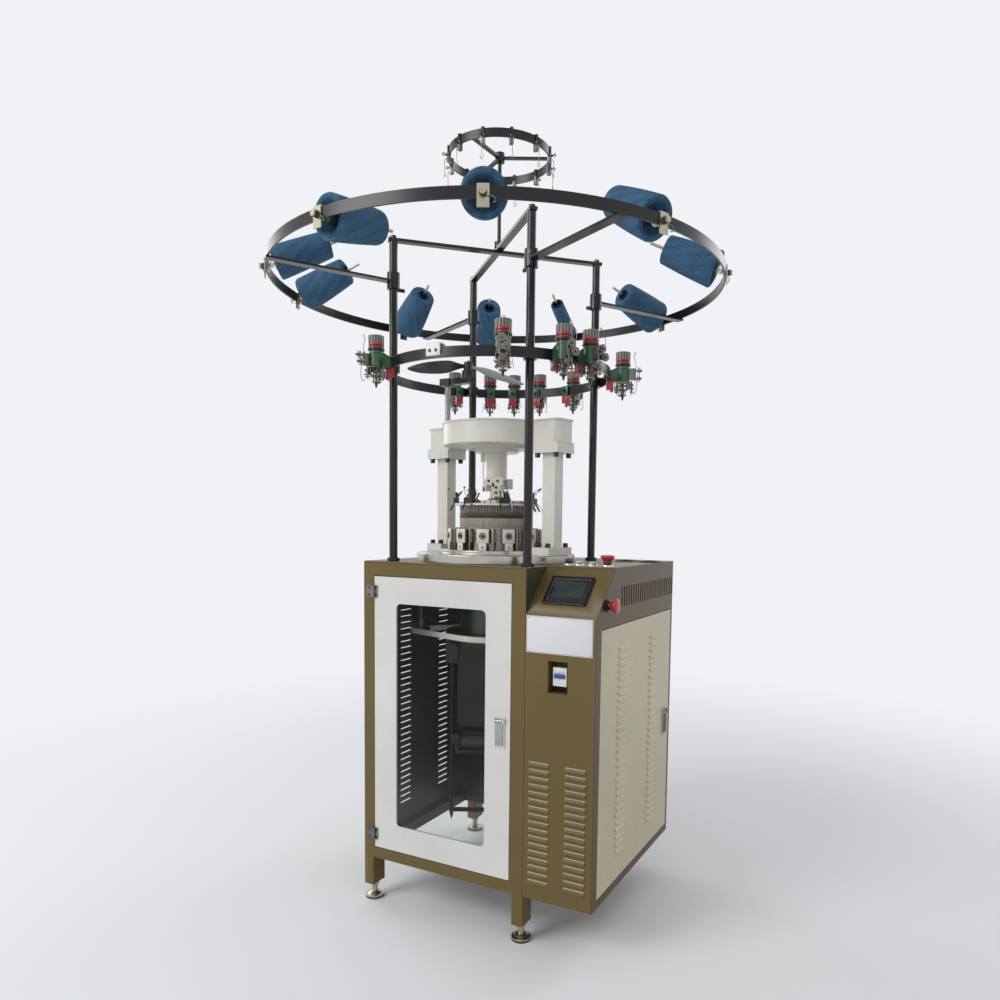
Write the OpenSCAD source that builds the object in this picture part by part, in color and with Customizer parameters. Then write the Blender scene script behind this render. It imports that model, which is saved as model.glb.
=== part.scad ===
// Circular knitting machine for hats: a sheet-steel cabinet with a control box on its right side,
// a knitting head on top, a ring of yarn feeders above it and a creel ring of yarn cones over all.
// The origin is on the floor under the knitting axis. +Y points to the back, +X to the control box.

/* [Cabinet] */
// Width of the main cabinet
body_w = 500; // [480:1:540]
// Depth of the cabinet
body_d = 590; // [580:1:640]
// Height of the cabinet top above the floor
top_z = 952; // [930:1:990]
// Height of the cabinet's lower edge above the floor
floor_gap = 126; // [110:1:150]
// Knitting axis to the left side
axis_left = 277.5; // [265:0.5:290]
// Knitting axis to the front
axis_front = 237.5; // [232:0.5:250]
// Thickness of the side and back sheets
sheet = 2; // [1.5:0.5:3]
// Thickness of the cabinet's top plate
lid_t = 4; // [3:0.5:6]
// Leg section across the front
leg_w = 30; // [26:1:32]
// Leg section from front to back
leg_d = 50; // [40:1:60]
// Section of the rails behind the sheets
rail_t = 20; // [15:1:24]
// Visible width of the left stile
stile_left = 34; // [32:1:44]
// Visible width of the right stile
stile_right = 38; // [34:1:48]
// Height of the top rail under the lid
top_rail = 35; // [30:1:45]
// Height of the bottom rail
bottom_rail = 30; // [24:1:40]
// Depth of the rear compartment
rear_bay = 99.5; // [92:0.5:108]

/* [Feet] */
// Height of a levelling foot
foot_h = 45; // [38:1:60]
// Radius of a foot's rubber pad
foot_r = 25; // [20:1:30]
// Radius of a foot's threaded stem
stem_r = 8; // [6:0.5:10]

/* [Control box] */
// Width of the control box
ctrl_w = 187.5; // [180:0.5:230]
// Drop and depth of the sloped console
slope = 113.5; // [108:0.5:125]
// Front edge of the side door behind the box's front
side_door_front = 31.5; // [26:0.5:40]
// Width of the side door
side_door_w = 544; // [520:1:548]
// Lower edge of the side door above the box's lower edge
side_door_low = 22; // [18:1:40]
// Height of the side door
side_door_h = 660; // [640:1:670]
// Number of slots in the vent over the side door
vent_n = 25; // [10:1:28]
// Spacing of the vent slots
vent_pitch = 17.5; // [15:0.5:18]
// Height of the vent slots as a share of the strip over the side door
vent_share = 0.35; // [0.25:0.01:0.45]
// Width of the touch screen's bezel
screen_w = 115.5; // [100:0.5:135]
// Height of the bezel along the slope
screen_h = 90; // [76:1:100]
// Height of the bezel over the panel
bezel_t = 5; // [3:0.5:8]
// Width of the breaker recess
recess_w = 52.5; // [48:0.5:60]
// Height of the breaker recess
recess_h = 78; // [70:1:90]
// Depth of the breaker recess
recess_d = 34; // [28:1:45]

/* [Doors] */
// Thickness of both doors
door_t = 18; // [14:1:24]
// Gap round a door
door_gap = 2; // [1.5:0.1:3]
// Window edge inside the left, right and upper door edges
window_side = 71; // [60:1:80]
// Window edge above the lower door edge
window_low = 71; // [60:1:90]
// Corner radius of the window
window_r = 14; // [8:1:20]
// Thickness of the window glass
glass_t = 4; // [3:0.5:6]
// Height of a hinge
hinge_h = 33; // [26:1:45]
// Radius of a hinge knuckle
knuckle_r = 4.5; // [4:0.25:5]
// Radius of a hinge pin
pin_r = 2.4; // [2:0.1:3]
// Width of a latch
latch_w = 29; // [26:1:34]
// Height of a latch
latch_h = 78; // [70:1:96]

/* [Louvres] */
// Width of a louvre
louvre_w = 54; // [44:1:60]
// Spacing of the louvres
louvre_pitch = 18.7; // [17:0.1:22]
// How far a louvre stands out
louvre_out = 5; // [3:0.5:7]

/* [Knitting head] */
// Turn of the knitting head about its axis
head_turn = -11; // [-20:1:0]
// Radius of the base plate
base_r = 222; // [218:1:230]
// Thickness of the base plate
base_t = 23; // [20:1:28]
// Height of the step on the base plate
step_t = 10; // [8:1:14]
// Radius of the step on the base plate
step_r = 155; // [150:1:162]
// Knitting axis to a column
column_at = 197; // [192:1:201]
// Width of a column across
column_w = 35; // [31:1:39]
// Depth of a column towards the axis
column_d = 41; // [37:1:44]
// Height of a column's base block
block_h = 21; // [16:1:24]
// Underside of the casting's bosses above the cabinet top
boss_low = 292; // [284:1:304]
// Underside of the casting's drum above the boss underside
drum_low = 27; // [20:1:32]
// Width of the casting over its bosses
boss_w = 75; // [68:1:84]
// Height of the casting from its boss underside
casting_h = 83; // [75:1:92]
// Radius of the casting's drum
drum_r = 150; // [140:1:158]
// Thickness of the casting's cover
cover_t = 5; // [4:0.5:8]
// Outer radius of the needle cylinder
cyl_r = 102; // [98:1:104]
// Wall of the needle cylinder
cyl_wall = 12; // [10:1:15]
// Top of the needle cylinder above the base plate's step
cyl_rise = 125; // [120:1:130]
// Number of needle grooves
needles_n = 72; // [48:1:84]
// Width of a needle groove
groove_w = 2.4; // [2:0.1:3]
// Depth of a needle groove
groove_d = 3.2; // [2.5:0.1:4]
// Height of the cam ring
cam_h = 60; // [52:1:66]
// Radius over the cam boxes
cam_r = 131; // [128:1:138]
// Number of cam boxes
cam_n = 12; // [8:1:12]
// Radius of the dial
dial_r = 92; // [80:1:94]
// Radius of the dial's shaft
dial_shaft_r = 15; // [12:1:18]
// Number of yarn finger groups
finger_n = 7; // [4:1:9]

/* [Drive and take-down] */
// Knitting axis to the drive shaft
drive_at = 222; // [220:1:224]
// Direction of the drive shaft from the knitting axis
drive_turn = 196; // [190:1:200]
// Radius of the drive shaft
drive_shaft_r = 9.5; // [8:0.5:12]
// Height of the belt's lower edge above the floor
belt_z = 738; // [720:1:760]
// Width of the belt
belt_w = 15; // [12:1:20]
// Thickness of the belt
belt_t = 3; // [2:0.5:4]
// Radius of the large pulley
big_pulley_r = 140; // [134:1:146]
// Radius of the small pulley
small_pulley_r = 26; // [22:1:29]
// Knitting axis to a take-down rod
rod_at = 122; // [118:1:126]
// Radius of a take-down rod
rod_r = 7; // [5:0.5:9]
// Lower end of the take-down frame above the floor
takedown_low = 222; // [180:1:260]
// Height of the take-down rollers above the floor
roller_z = 436; // [400:1:480]
// Radius of a take-down roller
roller_r = 18; // [14:1:22]
// Direction of the take-down frame
takedown_turn = 27; // [0:1:45]

/* [Creel] */
// Knitting axis to a post along X
post_x = 206; // [196:1:208]
// Knitting axis to a post along Y
post_y = 201; // [192:1:206]
// Radius of a post
post_r = 11; // [9:0.5:13]
// Height of the posts above the cabinet top
post_h = 844; // [800:1:900]
// Width of a crossbar
bar_w = 20; // [18:1:26]
// Thickness of a crossbar
bar_t = 8; // [6:1:10]
// Radius of the mast
mast_r = 5; // [4:0.5:7]
// Height of the top ring over the crossbars
mast_h = 239; // [200:1:270]
// Radius of the top ring
top_ring_r = 141; // [120:1:160]
// Radius of the creel ring
creel_r = 607; // [580:1:640]
// Middle of the creel ring above the floor
creel_z = 1708; // [1690:1:1740]
// Height of the creel ring's band
creel_h = 25; // [20:1:32]
// Thickness of the creel ring's band
creel_t = 5; // [4:0.5:7]
// How far an arm's outer end lies round from the post's own direction
arm_turn = 8.5; // [0:0.5:14]
// Rise of a cone spindle over the level
spindle_rise = 25; // [20:1:28]
// Length of a cone spindle
spindle_l = 206; // [196:1:230]
// Radius of a cone spindle
spindle_r = 4; // [3:0.5:6]
// Length of a yarn cone
cone_l = 145; // [130:1:152]
// Radius of a full cone at the ring
cone_big_r = 49; // [44:1:52]
// Radius of a full cone at its free end
cone_small_r = 38; // [32:1:43]
// Radius of the hole in a cone
cone_hole_r = 14; // [11:0.5:18]

/* [Feeders] */
// Radius of the feeder ring
feeder_ring_r = 310; // [308:1:320]
// Middle of the feeder ring above the floor
feeder_z = 1468; // [1455:1:1500]
// Height of the feeder ring's band
feeder_ring_h = 26; // [20:1:30]
// Thickness of the feeder ring's band
feeder_ring_t = 5; // [4:0.5:7]
// Feeder ring to a feeder's wheel axis
feeder_out = 37; // [34:1:44]
// Radius of a feeder's body
feeder_r = 20.5; // [18:0.5:23]
// Radius of a feeder's spindle
feeder_shaft_r = 4; // [3:0.25:5]
// Height of a feeder's yarn cage
cage_h = 28; // [24:1:34]
// Length of the tip under a feeder's cage
tip_h = 30; // [24:1:36]

/* [Lint fan] */
// Knitting axis to the fan's pole
pole_at = 168; // [164:1:172]
// Radius of the fan's pole
pole_r = 8.5; // [7:0.5:10]
// Height of the pole over the casting's cover
pole_h = 122; // [114:1:128]
// Length of a fan blade from the hub's centre
blade_l = 175; // [140:1:180]
// Tilt of the fan's axis
fan_tilt = 4; // [0:1:6]
// How far the fan's blades droop
fan_droop = 10; // [6:1:11]

/* [Hidden] */
$fn = 48;

// Running clearance of shafts and pins, and the air under a part that turns over another
run = 0.1;
air = 0.3;

// Cabinet planes
left_x = -axis_left;
right_x = left_x + body_w;
front_y = -axis_front;
back_y = front_y + body_d;
partition_y = back_y - rear_bay;
lid_z = top_z - lid_t;
out_x = right_x + ctrl_w;

// Front door
door_x0 = left_x + stile_left + door_gap;
door_x1 = right_x - stile_right - door_gap;
door_z0 = floor_gap + bottom_rail + door_gap;
door_z1 = lid_z - top_rail - door_gap;
hinge_x = door_x0 - door_gap / 2;
hinge_y = front_y - knuckle_r - 0.5;
hinge_leaf_t = 3;
hinge_leaf_w = 25;
hinge_zs = [door_z0 + 38, door_z1 - 41];
front_latch_at = [door_x1 - latch_w / 2 - 14, front_y, door_z0 + 378];

// Side door
side_y0 = front_y + side_door_front;
side_y1 = side_y0 + side_door_w;
side_z0 = floor_gap + side_door_low;
side_z1 = side_z0 + side_door_h;
side_strip = top_z - side_z1;
vent_z0 = side_z1 + 0.32 * side_strip;
vent_h = vent_share * side_strip;
side_pin = [out_x - 3, side_y0 + 4];
side_pin_r = 1.9;
side_latch_at = [out_x, side_y1 - 41, side_z0 + 330];

// Console slope: its middle point and the turn of its surface
slope_mid = [right_x + ctrl_w / 2 - 4.5, front_y + slope / 2, top_z - slope / 2];
screen_depth = 30;

// Breaker recess and breaker
recess_x = right_x + ctrl_w / 2 - 5;
recess_z = top_z - slope - 148;
pole_w = 18;
nose_h = 45;
nose_out = 22;
toggle_r = 6;
toggle_up = 35;
toggle_y = front_y + recess_d - nose_out + 4;

// Switches on the console's top and on its side
switch_y = front_y + slope + 40;
selector_x = right_x + 43;
button_xs = [right_x + 72, right_x + 109];
estop_x = right_x + 150;
estop_side_z = side_z1 + 0.4 * side_strip;
estop_side_at = [out_x, front_y + estop_side_z - (top_z - slope) + 31.5, estop_side_z];
panel_hole_r = 10;
collar_r = 15;
collar_h = 6;
plunger_r = 6;
estop_travel = 4;
button_travel = 2.5;

// Knitting head levels
base_top = top_z + base_t;
step_top = base_top + step_t;
boss_z = top_z + boss_low;
drum_z = boss_z + drum_low;
casting_top = boss_z + casting_h;
cover_top = casting_top + cover_t;
cyl_top = step_top + cyl_rise;
cyl_low = top_z - 22;
cam_top = step_top + cam_h;
cam_in = cyl_r + 3.5;
finger_z = cyl_top - 4;
finger_in = cyl_r + 4.5;
dial_z = cyl_top + 2;
dial_t = 8;
hub_top = dial_z + dial_t + 30;
tube_low = hub_top + 2;
tube_r = 29;

// Drive and take-down
drive_xy = [drive_at * cos(drive_turn), drive_at * sin(drive_turn)];
motor_w = 76;
motor_h = 96;
rotor_tube_r = cyl_r - 6;
rotor_tube_in = cyl_r - cyl_wall - 4;
frame_plate_t = 12;
carriage_w = 2 * rod_at - 30;
roller_l = carriage_w - 26;
roller_gap = 0.8;

// Creel
post_top = top_z + post_h;
arm_z1 = creel_z - creel_h / 2;
arm_w = 25;
arm_t = 5.5;
sleeve_r = 17;
sleeve_h = 42;
// Direction of each cone's bracket on the creel ring, how far its spindle is bent up, and how full it is
cones = [
    [261, -17, 1], [222, 0, 0.8], [195, 0, 0.95], [152, 6, 1.05], [124, -1, 1.02],
    [95, 2, 0.2], [61, -5, 1.05], [13, 0, 0.95], [335, 5, 1], [297, -3, 1]
];
holder_t = 3;
holder_air = 0.2;
spindle_from = [creel_r - creel_t / 2 - holder_air - holder_t, creel_z];
cone_from = 18;
core_r = cone_hole_r + 3;
mast_top = post_top + 2 * bar_t + mast_h;

// Feeders: the direction of each on its ring
feeder_turns = [302, 327, 341, 25, 77, 97, 111, 124, 143, 236];
body_up = 26;
body_down = 14;

// Fan
pole_turn = 179;
pole_xy = [pole_at * cos(pole_turn), pole_at * sin(pole_turn)];
pole_top = cover_top + pole_h;
fan_hub = [pole_xy[0] + 73, pole_xy[1] - 7, pole_top + 46];
fan_motor_top = -14;

olive = "#6E5F3F";
ivory = "#DAD6C8";
steel = "#A8A9A8";
black = "#1E1F22";
green = "#2F5A3C";
red = "#B3262A";

// A box between two planes on each axis
module box(x0, x1, y0, y1, z0, z1) {
    translate([x0, y0, z0])
        cube([x1 - x0, y1 - y0, z1 - z0]);
}

// A flat rectangle with round corners, centred
module round_rect(w, h, r) {
    square([w - 2 * r, h], center = true);
    square([w, h - 2 * r], center = true);
    for (sx = [-1, 1], sy = [-1, 1])
        translate([sx * (w / 2 - r), sy * (h / 2 - r)])
            circle(r);
}

// A tube about the Z axis
module tube(r_out, r_in, z0, z1) {
    translate([0, 0, z0])
        difference() {
            cylinder(r = r_out, h = z1 - z0);
            translate([0, 0, -1])
                cylinder(r = r_in, h = z1 - z0 + 2);
        }
}

// A circle with ribs round it, as on a knurled roller
module ribbed_circle(r, rib, n) {
    polygon([for (i = [0 : 2 * n - 1])
        let (at = r - (i % 2) * rib) [at * cos(i * 180 / n), at * sin(i * 180 / n)]]);
}

// Puts its children at a direction and distance from the knitting axis
module polar(turn, distance, z = 0) {
    rotate([0, 0, turn])
        translate([distance, 0, z])
            children();
}

// Louvre hoods of a column: the sheet lies in the YZ plane, the hoods stand out along +X
module louvre_hoods(n) {
    for (i = [0 : n - 1])
        translate([0, louvre_w / 2, i * louvre_pitch])
            rotate([90, 0, 0])
                linear_extrude(height = louvre_w)
                    polygon([[0, 0], [louvre_out, 0], [louvre_out, 1.5], [0, 9]]);
}

// The openings under the hoods of a column
module louvre_slots(n) {
    for (i = [0 : n - 1])
        translate([-sheet - 1, -louvre_w / 2 + 1.5, i * louvre_pitch - 1])
            cube([sheet + louvre_out, louvre_w - 3, 4.5]);
}

// Cabinet

module cabinet_frame() {
    color(olive) {
        for (x = [left_x, right_x - leg_w], y = [front_y, back_y - leg_d])
            box(x, x + leg_w, y, y + leg_d, foot_h, lid_z);
        box(left_x, left_x + stile_left, front_y, front_y + rail_t, floor_gap, lid_z);
        box(right_x - stile_right, right_x, front_y, front_y + rail_t, floor_gap, lid_z);
        for (z = [[floor_gap, floor_gap + bottom_rail], [lid_z - top_rail, lid_z]]) {
            box(left_x + leg_w, right_x - leg_w, front_y, front_y + rail_t, z[0], z[1]);
            box(left_x + leg_w, right_x - leg_w, back_y - sheet - rail_t, back_y - sheet, z[0], z[1]);
            box(left_x + sheet, left_x + sheet + rail_t, front_y + leg_d, back_y - leg_d, z[0], z[1]);
            box(right_x - rail_t, right_x, front_y + leg_d, back_y - leg_d, z[0], z[1]);
        }
    }
}

module cabinet_lid() {
    color(olive)
        difference() {
            box(left_x, right_x, front_y, back_y, lid_z, top_z);
            translate([0, 0, lid_z - 1])
                cylinder(r = cyl_r + 8, h = lid_t + 2);
        }
}

module left_panel() {
    columns_y = [front_y + 188, front_y + 385];
    low = floor_gap + 94;
    n = floor((lid_z - top_rail - low - 30) / louvre_pitch);
    color(olive)
        difference() {
            union() {
                box(left_x, left_x + sheet, front_y + leg_d, back_y - leg_d, floor_gap, lid_z);
                for (y = columns_y)
                    translate([left_x, y, low])
                        mirror([1, 0, 0])
                            louvre_hoods(n);
            }
            for (y = columns_y)
                translate([left_x, y, low])
                    mirror([1, 0, 0])
                        louvre_slots(n);
        }
}

module back_panel() {
    columns_x = [left_x + body_w * 0.3, left_x + body_w * 0.7];
    low = floor_gap + 60;
    n = 12;
    color(olive)
        difference() {
            union() {
                box(left_x + leg_w, right_x - leg_w, back_y - sheet, back_y, floor_gap, lid_z);
                for (x = columns_x)
                    translate([x, back_y, low])
                        rotate([0, 0, 90])
                            louvre_hoods(n);
            }
            for (x = columns_x)
                translate([x, back_y, low])
                    rotate([0, 0, 90])
                        louvre_slots(n);
        }
}

module rear_partition() {
    color(olive)
        difference() {
            box(left_x + sheet, right_x, partition_y, partition_y + sheet, floor_gap, lid_z);
            for (z = [floor_gap - 1, lid_z - top_rail], x = [left_x + sheet - 1, right_x - rail_t])
                translate([x, partition_y - 1, z])
                    cube([rail_t + 1, sheet + 2, max(top_rail, bottom_rail) + 1]);
        }
}

// Side outline of the control box, drawn in YZ and made smaller all round by inset
module console_outline(inset) {
    polygon([
        [front_y + inset, floor_gap + inset],
        [back_y - inset, floor_gap + inset],
        [back_y - inset, top_z - inset],
        [front_y + slope + inset * tan(22.5), top_z - inset],
        [front_y + inset, top_z - slope - inset * tan(22.5)]
    ]);
}

// Stands its children on the console slope, X along the front and Y up the slope
module on_slope() {
    translate(slope_mid)
        rotate([45, 0, 0])
            children();
}

module side_louvres_at() {
    for (y = [side_y0 + 145, side_y0 + 388])
        translate([out_x, y, side_z0 + 72])
            children();
}

module front_louvres_at() {
    for (x = [right_x + 42, right_x + 140])
        translate([x, front_y, floor_gap + 42])
            rotate([0, 0, -90])
                children();
}

module control_box() {
    front_n = 17;
    rx0 = recess_x - recess_w / 2;
    rz0 = recess_z - recess_h / 2;
    color(olive)
        difference() {
            union() {
                difference() {
                    translate([right_x, 0, 0])
                        rotate([90, 0, 90])
                            linear_extrude(height = ctrl_w)
                                console_outline(0);
                    translate([right_x + sheet, 0, 0])
                        rotate([90, 0, 90])
                            linear_extrude(height = ctrl_w - 2 * sheet)
                                console_outline(sheet);
                }
                translate([rx0 - sheet, front_y + sheet, rz0 - sheet])
                    cube([recess_w + 2 * sheet, recess_d, recess_h + 2 * sheet]);
                front_louvres_at()
                    louvre_hoods(front_n);
                for (z = [side_z0 - door_gap - 9, side_z1 + door_gap])
                    box(out_x - 14, out_x - sheet, side_pin[1] - 8, side_pin[1] + 8, z, z + 9);
            }
            front_louvres_at()
                louvre_slots(front_n);
            translate([rx0, front_y - 1, rz0])
                cube([recess_w, recess_d + 1, recess_h]);
            translate([recess_x - pole_w - run, front_y + recess_d - 1, recess_z - nose_h / 2 - run])
                cube([2 * (pole_w + run), sheet + 2, nose_h + 2 * run]);
            translate([out_x - sheet - 1, side_y0 - door_gap, side_z0 - door_gap])
                cube([sheet + 2, side_door_w + 2 * door_gap, side_door_h + 2 * door_gap]);
            for (i = [0 : vent_n - 1])
                translate([out_x - sheet - 1, back_y - 12 - i * vent_pitch, vent_z0])
                    cube([sheet + 2, vent_pitch * 0.4, vent_h]);
            on_slope()
                translate([0, 0, -20])
                    linear_extrude(height = 40)
                        square([screen_w - 12, screen_h - 12], center = true);
            for (x = concat([selector_x, estop_x], button_xs))
                translate([x, switch_y, top_z - sheet - 1])
                    cylinder(r = panel_hole_r, h = sheet + 2);
            translate([out_x - sheet - 1, estop_side_at[1], estop_side_at[2]])
                rotate([0, 90, 0])
                    cylinder(r = panel_hole_r, h = sheet + 2);
            translate([side_pin[0], side_pin[1], side_z0 - door_gap - 10])
                cylinder(r = side_pin_r + run, h = side_z1 - side_z0 + 2 * door_gap + 20);
        }
}

// A block on the plate of the drive modules, placed by shares of the plate: back and up, then its depth
module on_module_plate(face, y0, y1, z0, z1, depth) {
    plate_y = [front_y + 70, back_y - 40];
    plate_z = [side_z0 + 68, side_z1 - 62];
    function at(span, share) = span[0] + share * (span[1] - span[0]);
    box(face, face + depth, at(plate_y, y0), at(plate_y, y1), at(plate_z, z0), at(plate_z, z1));
}

module drive_modules() {
    plate_x = right_x + sheet;
    face = plate_x + 3;
    layout = [
        [0.083, 0.302, 0.547, 0.906, 120], [0.354, 0.479, 0.585, 0.906, 100],
        [0.521, 0.646, 0.585, 0.906, 100], [0.708, 0.938, 0.66, 0.887, 70],
        [0.083, 0.542, 0.302, 0.453, 85], [0.063, 0.938, 0.075, 0.17, 45]
    ];
    color("#4A4D50") {
        on_module_plate(plate_x, 0, 1, 0, 1, face - plate_x);
        for (m = layout)
            on_module_plate(face, m[0], m[1], m[2], m[3], m[4]);
    }
}

module levelling_feet() {
    nut_r = stem_r + 6;
    color(black)
        for (x = [left_x + leg_w / 2, right_x - leg_w / 2], y = [front_y + leg_d / 2, back_y - leg_d / 2])
            translate([x, y, 0]) {
                cylinder(r = foot_r, h = 9);
                translate([0, 0, 9])
                    cylinder(r1 = foot_r - 3, r2 = stem_r + 2, h = 8);
                cylinder(r = stem_r, h = foot_h);
                translate([0, 0, foot_h - 9])
                    cylinder(r = nut_r, h = 8, $fn = 6);
            }
}

// Front door and its hinges

module door_hinges() {
    third = hinge_h / 3;
    color(steel)
        for (z = hinge_zs) {
            translate([hinge_x - hinge_leaf_w, front_y - hinge_leaf_t, z - hinge_h / 2])
                cube([hinge_leaf_w - knuckle_r - air, hinge_leaf_t, hinge_h]);
            for (s = [-1, 1])
                translate([0, 0, z + s * third - third / 2]) {
                    translate([hinge_x, hinge_y, 0])
                        cylinder(r = knuckle_r, h = third);
                    box(hinge_x - knuckle_r - 1, hinge_x, hinge_y, front_y - 1, 0, third);
                }
            translate([hinge_x, hinge_y, z - hinge_h / 2])
                cylinder(r = pin_r, h = hinge_h);
        }
}

// A latch's raised housing: stands out along -Y, centred
module latch_housing() {
    difference() {
        translate([-latch_w / 2, -4, -latch_h / 2])
            cube([latch_w, 4, latch_h]);
        translate([-latch_w / 2 + 3, -5, -latch_h / 2 + 3])
            cube([latch_w - 6, 4, latch_h - 6]);
    }
    for (s = [-1, 1])
        difference() {
            translate([s * (latch_w / 2 - 1.5) - 1.5, -9, latch_h / 2 - 15])
                cube([3, 6, 11]);
            translate([s * (latch_w / 2 - 1.5) - 2, -6, latch_h / 2 - 9])
                rotate([0, 90, 0])
                    cylinder(r = 1.5 + run, h = 4);
        }
}

// A latch's lever: hangs from a cross pin at its upper end
module latch_lever() {
    lever_w = latch_w - 6 - 2 * air;
    difference() {
        union() {
            translate([-lever_w / 2, -6, -latch_h / 2 + 8])
                cube([lever_w, 4, latch_h - 17]);
            translate([-lever_w / 2, -6, latch_h / 2 - 9])
                rotate([0, 90, 0])
                    cylinder(r = 2.8, h = lever_w);
            translate([-latch_w / 2, -6, latch_h / 2 - 9])
                rotate([0, 90, 0])
                    cylinder(r = 1.5, h = latch_w);
        }
        translate([0, -7, -latch_h / 2 + 16])
            rotate([-90, 0, 0])
                cylinder(r = 7, h = 1.5);
    }
}

module front_door() {
    w = door_x1 - door_x0;
    h = door_z1 - door_z0;
    win_w = w - 2 * window_side - 4;
    win_h = h - window_side - window_low;
    mid_x = (door_x0 + door_x1) / 2;
    mid_z = door_z0 + window_low + win_h / 2;
    lap = 12;
    seat_w = win_w + 2 * lap;
    seat_h = win_h + 2 * lap;
    third = hinge_h / 3;
    color("#D8D6D2") {
        difference() {
            union() {
                difference() {
                    box(door_x0, door_x1, front_y, front_y + door_t, door_z0, door_z1);
                    translate([door_x0 + sheet, front_y + sheet, door_z0 + sheet])
                        cube([w - 2 * sheet, door_t, h - 2 * sheet]);
                }
                translate([mid_x, front_y + sheet, mid_z])
                    rotate([-90, 0, 0])
                        linear_extrude(height = glass_t + 2 * sheet)
                            difference() {
                                square([seat_w + 2 * sheet, seat_h + 2 * sheet], center = true);
                                square([seat_w, seat_h], center = true);
                            }
                translate([mid_x, front_y + sheet + glass_t, mid_z])
                    rotate([-90, 0, 0])
                        linear_extrude(height = sheet)
                            difference() {
                                square([seat_w + sheet, seat_h + sheet], center = true);
                                square([win_w + 2, win_h + 2], center = true);
                            }
            }
            translate([mid_x, front_y - 1, mid_z])
                rotate([-90, 0, 0])
                    linear_extrude(height = sheet + 2)
                        round_rect(win_w, win_h, window_r);
        }
        for (z = hinge_zs)
            difference() {
                union() {
                    translate([hinge_x + knuckle_r - 1, front_y - hinge_leaf_t, z - hinge_h / 2])
                        cube([13 - knuckle_r, hinge_leaf_t, hinge_h]);
                    translate([hinge_x, hinge_y, z - third / 2 + air])
                        cube([knuckle_r, front_y - 1 - hinge_y, third - 2 * air]);
                    translate([hinge_x, hinge_y, z - third / 2 + air])
                        cylinder(r = knuckle_r, h = third - 2 * air);
                }
                translate([hinge_x, hinge_y, z - hinge_h])
                    cylinder(r = pin_r + run, h = 2 * hinge_h);
                for (s = [-1, 1])
                    translate([hinge_x, hinge_y, z + s * third - third / 2 - (s > 0 ? air : 1)])
                        cylinder(r = knuckle_r + air, h = third + 1 + air);
            }
        translate(front_latch_at)
            latch_housing();
    }
}

module door_glass() {
    w = door_x1 - door_x0 - 2 * window_side - 4 + 22;
    h = door_z1 - door_z0 - window_side - window_low + 22;
    color("#BFD4D0", 0.35)
        translate([(door_x0 + door_x1) / 2, front_y + sheet, door_z0 + window_low + (h - 22) / 2])
            rotate([-90, 0, 0])
                linear_extrude(height = glass_t)
                    square([w, h], center = true);
}

module front_latch() {
    color(steel)
        translate(front_latch_at)
            latch_lever();
}

module side_door() {
    n = floor((side_door_h - 110) / louvre_pitch);
    hem = sheet + 5;
    color("#A29B86") {
        difference() {
            union() {
                difference() {
                    box(out_x - door_t, out_x, side_y0, side_y1, side_z0, side_z1);
                    translate([out_x - door_t - 1, side_y0 + hem, side_z0 + sheet])
                        cube([door_t + 1 - sheet, side_door_w - hem - sheet, side_door_h - 2 * sheet]);
                }
                side_louvres_at()
                    louvre_hoods(n);
            }
            side_louvres_at()
                louvre_slots(n);
        }
        for (z = [side_z0 - door_gap - 7, side_z1])
            translate([side_pin[0], side_pin[1], z])
                cylinder(r = side_pin_r, h = door_gap + 7);
    }
    color(black)
        translate(side_latch_at)
            rotate([0, 0, 90])
                latch_housing();
}

module side_latch() {
    color(black)
        translate(side_latch_at)
            rotate([0, 0, 90])
                latch_lever();
}

// Controls

module touch_screen() {
    color(black)
        on_slope()
            difference() {
                union() {
                    linear_extrude(height = bezel_t)
                        round_rect(screen_w, screen_h, 5);
                    translate([0, 0, -screen_depth])
                        linear_extrude(height = screen_depth)
                            square([screen_w - 12 - 2 * air, screen_h - 12 - 2 * air], center = true);
                }
                translate([0, 2, bezel_t - 1])
                    linear_extrude(height = 2)
                        square([screen_w - 20, screen_h - 34], center = true);
            }
}

module breaker() {
    back = front_y + recess_d;
    case_d = 44;
    case_h = 84;
    color("#E8E8E4")
        difference() {
            union() {
                translate([recess_x - pole_w, back - nose_out, recess_z - nose_h / 2])
                    cube([2 * pole_w, nose_out + sheet, nose_h]);
                translate([recess_x - pole_w, back + sheet, recess_z - case_h / 2])
                    cube([2 * pole_w, case_d, case_h]);
            }
            translate([recess_x - pole_w + 3, toggle_y, recess_z])
                rotate([0, 90, 0])
                    cylinder(r = toggle_r + air, h = 2 * pole_w - 6);
            translate([recess_x - pole_w + 3, back - nose_out - 1, recess_z - toggle_r - 4])
                cube([2 * pole_w - 6, 6, 2 * toggle_r + 8]);
        }
}

module breaker_toggle() {
    w = 2 * pole_w - 6 - 2 * air;
    color("#2B5FA8")
        translate([recess_x - w / 2, toggle_y, recess_z])
            rotate([0, 90, 0]) {
                cylinder(r = toggle_r, h = w);
                rotate([0, 0, -toggle_up])
                    translate([-2, -toggle_r - 7, 2])
                        cube([4, 8, w - 4]);
            }
}

// One collar over a panel: flange above the sheet and a threaded barrel below it
module collar(r) {
    difference() {
        union() {
            cylinder(r = r, h = collar_h);
            translate([0, 0, -24])
                cylinder(r = panel_hole_r, h = 24);
        }
        translate([0, 0, -25])
            cylinder(r = plunger_r + run, h = 32 + collar_h);
    }
}

module switch_collars() {
    color("#C9C7C0") {
        for (x = concat([selector_x], button_xs))
            translate([x, switch_y, top_z])
                collar(13);
        translate([estop_x, switch_y, top_z])
            collar(collar_r);
        translate(estop_side_at)
            rotate([0, 90, 0])
                collar(collar_r);
    }
}

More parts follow.
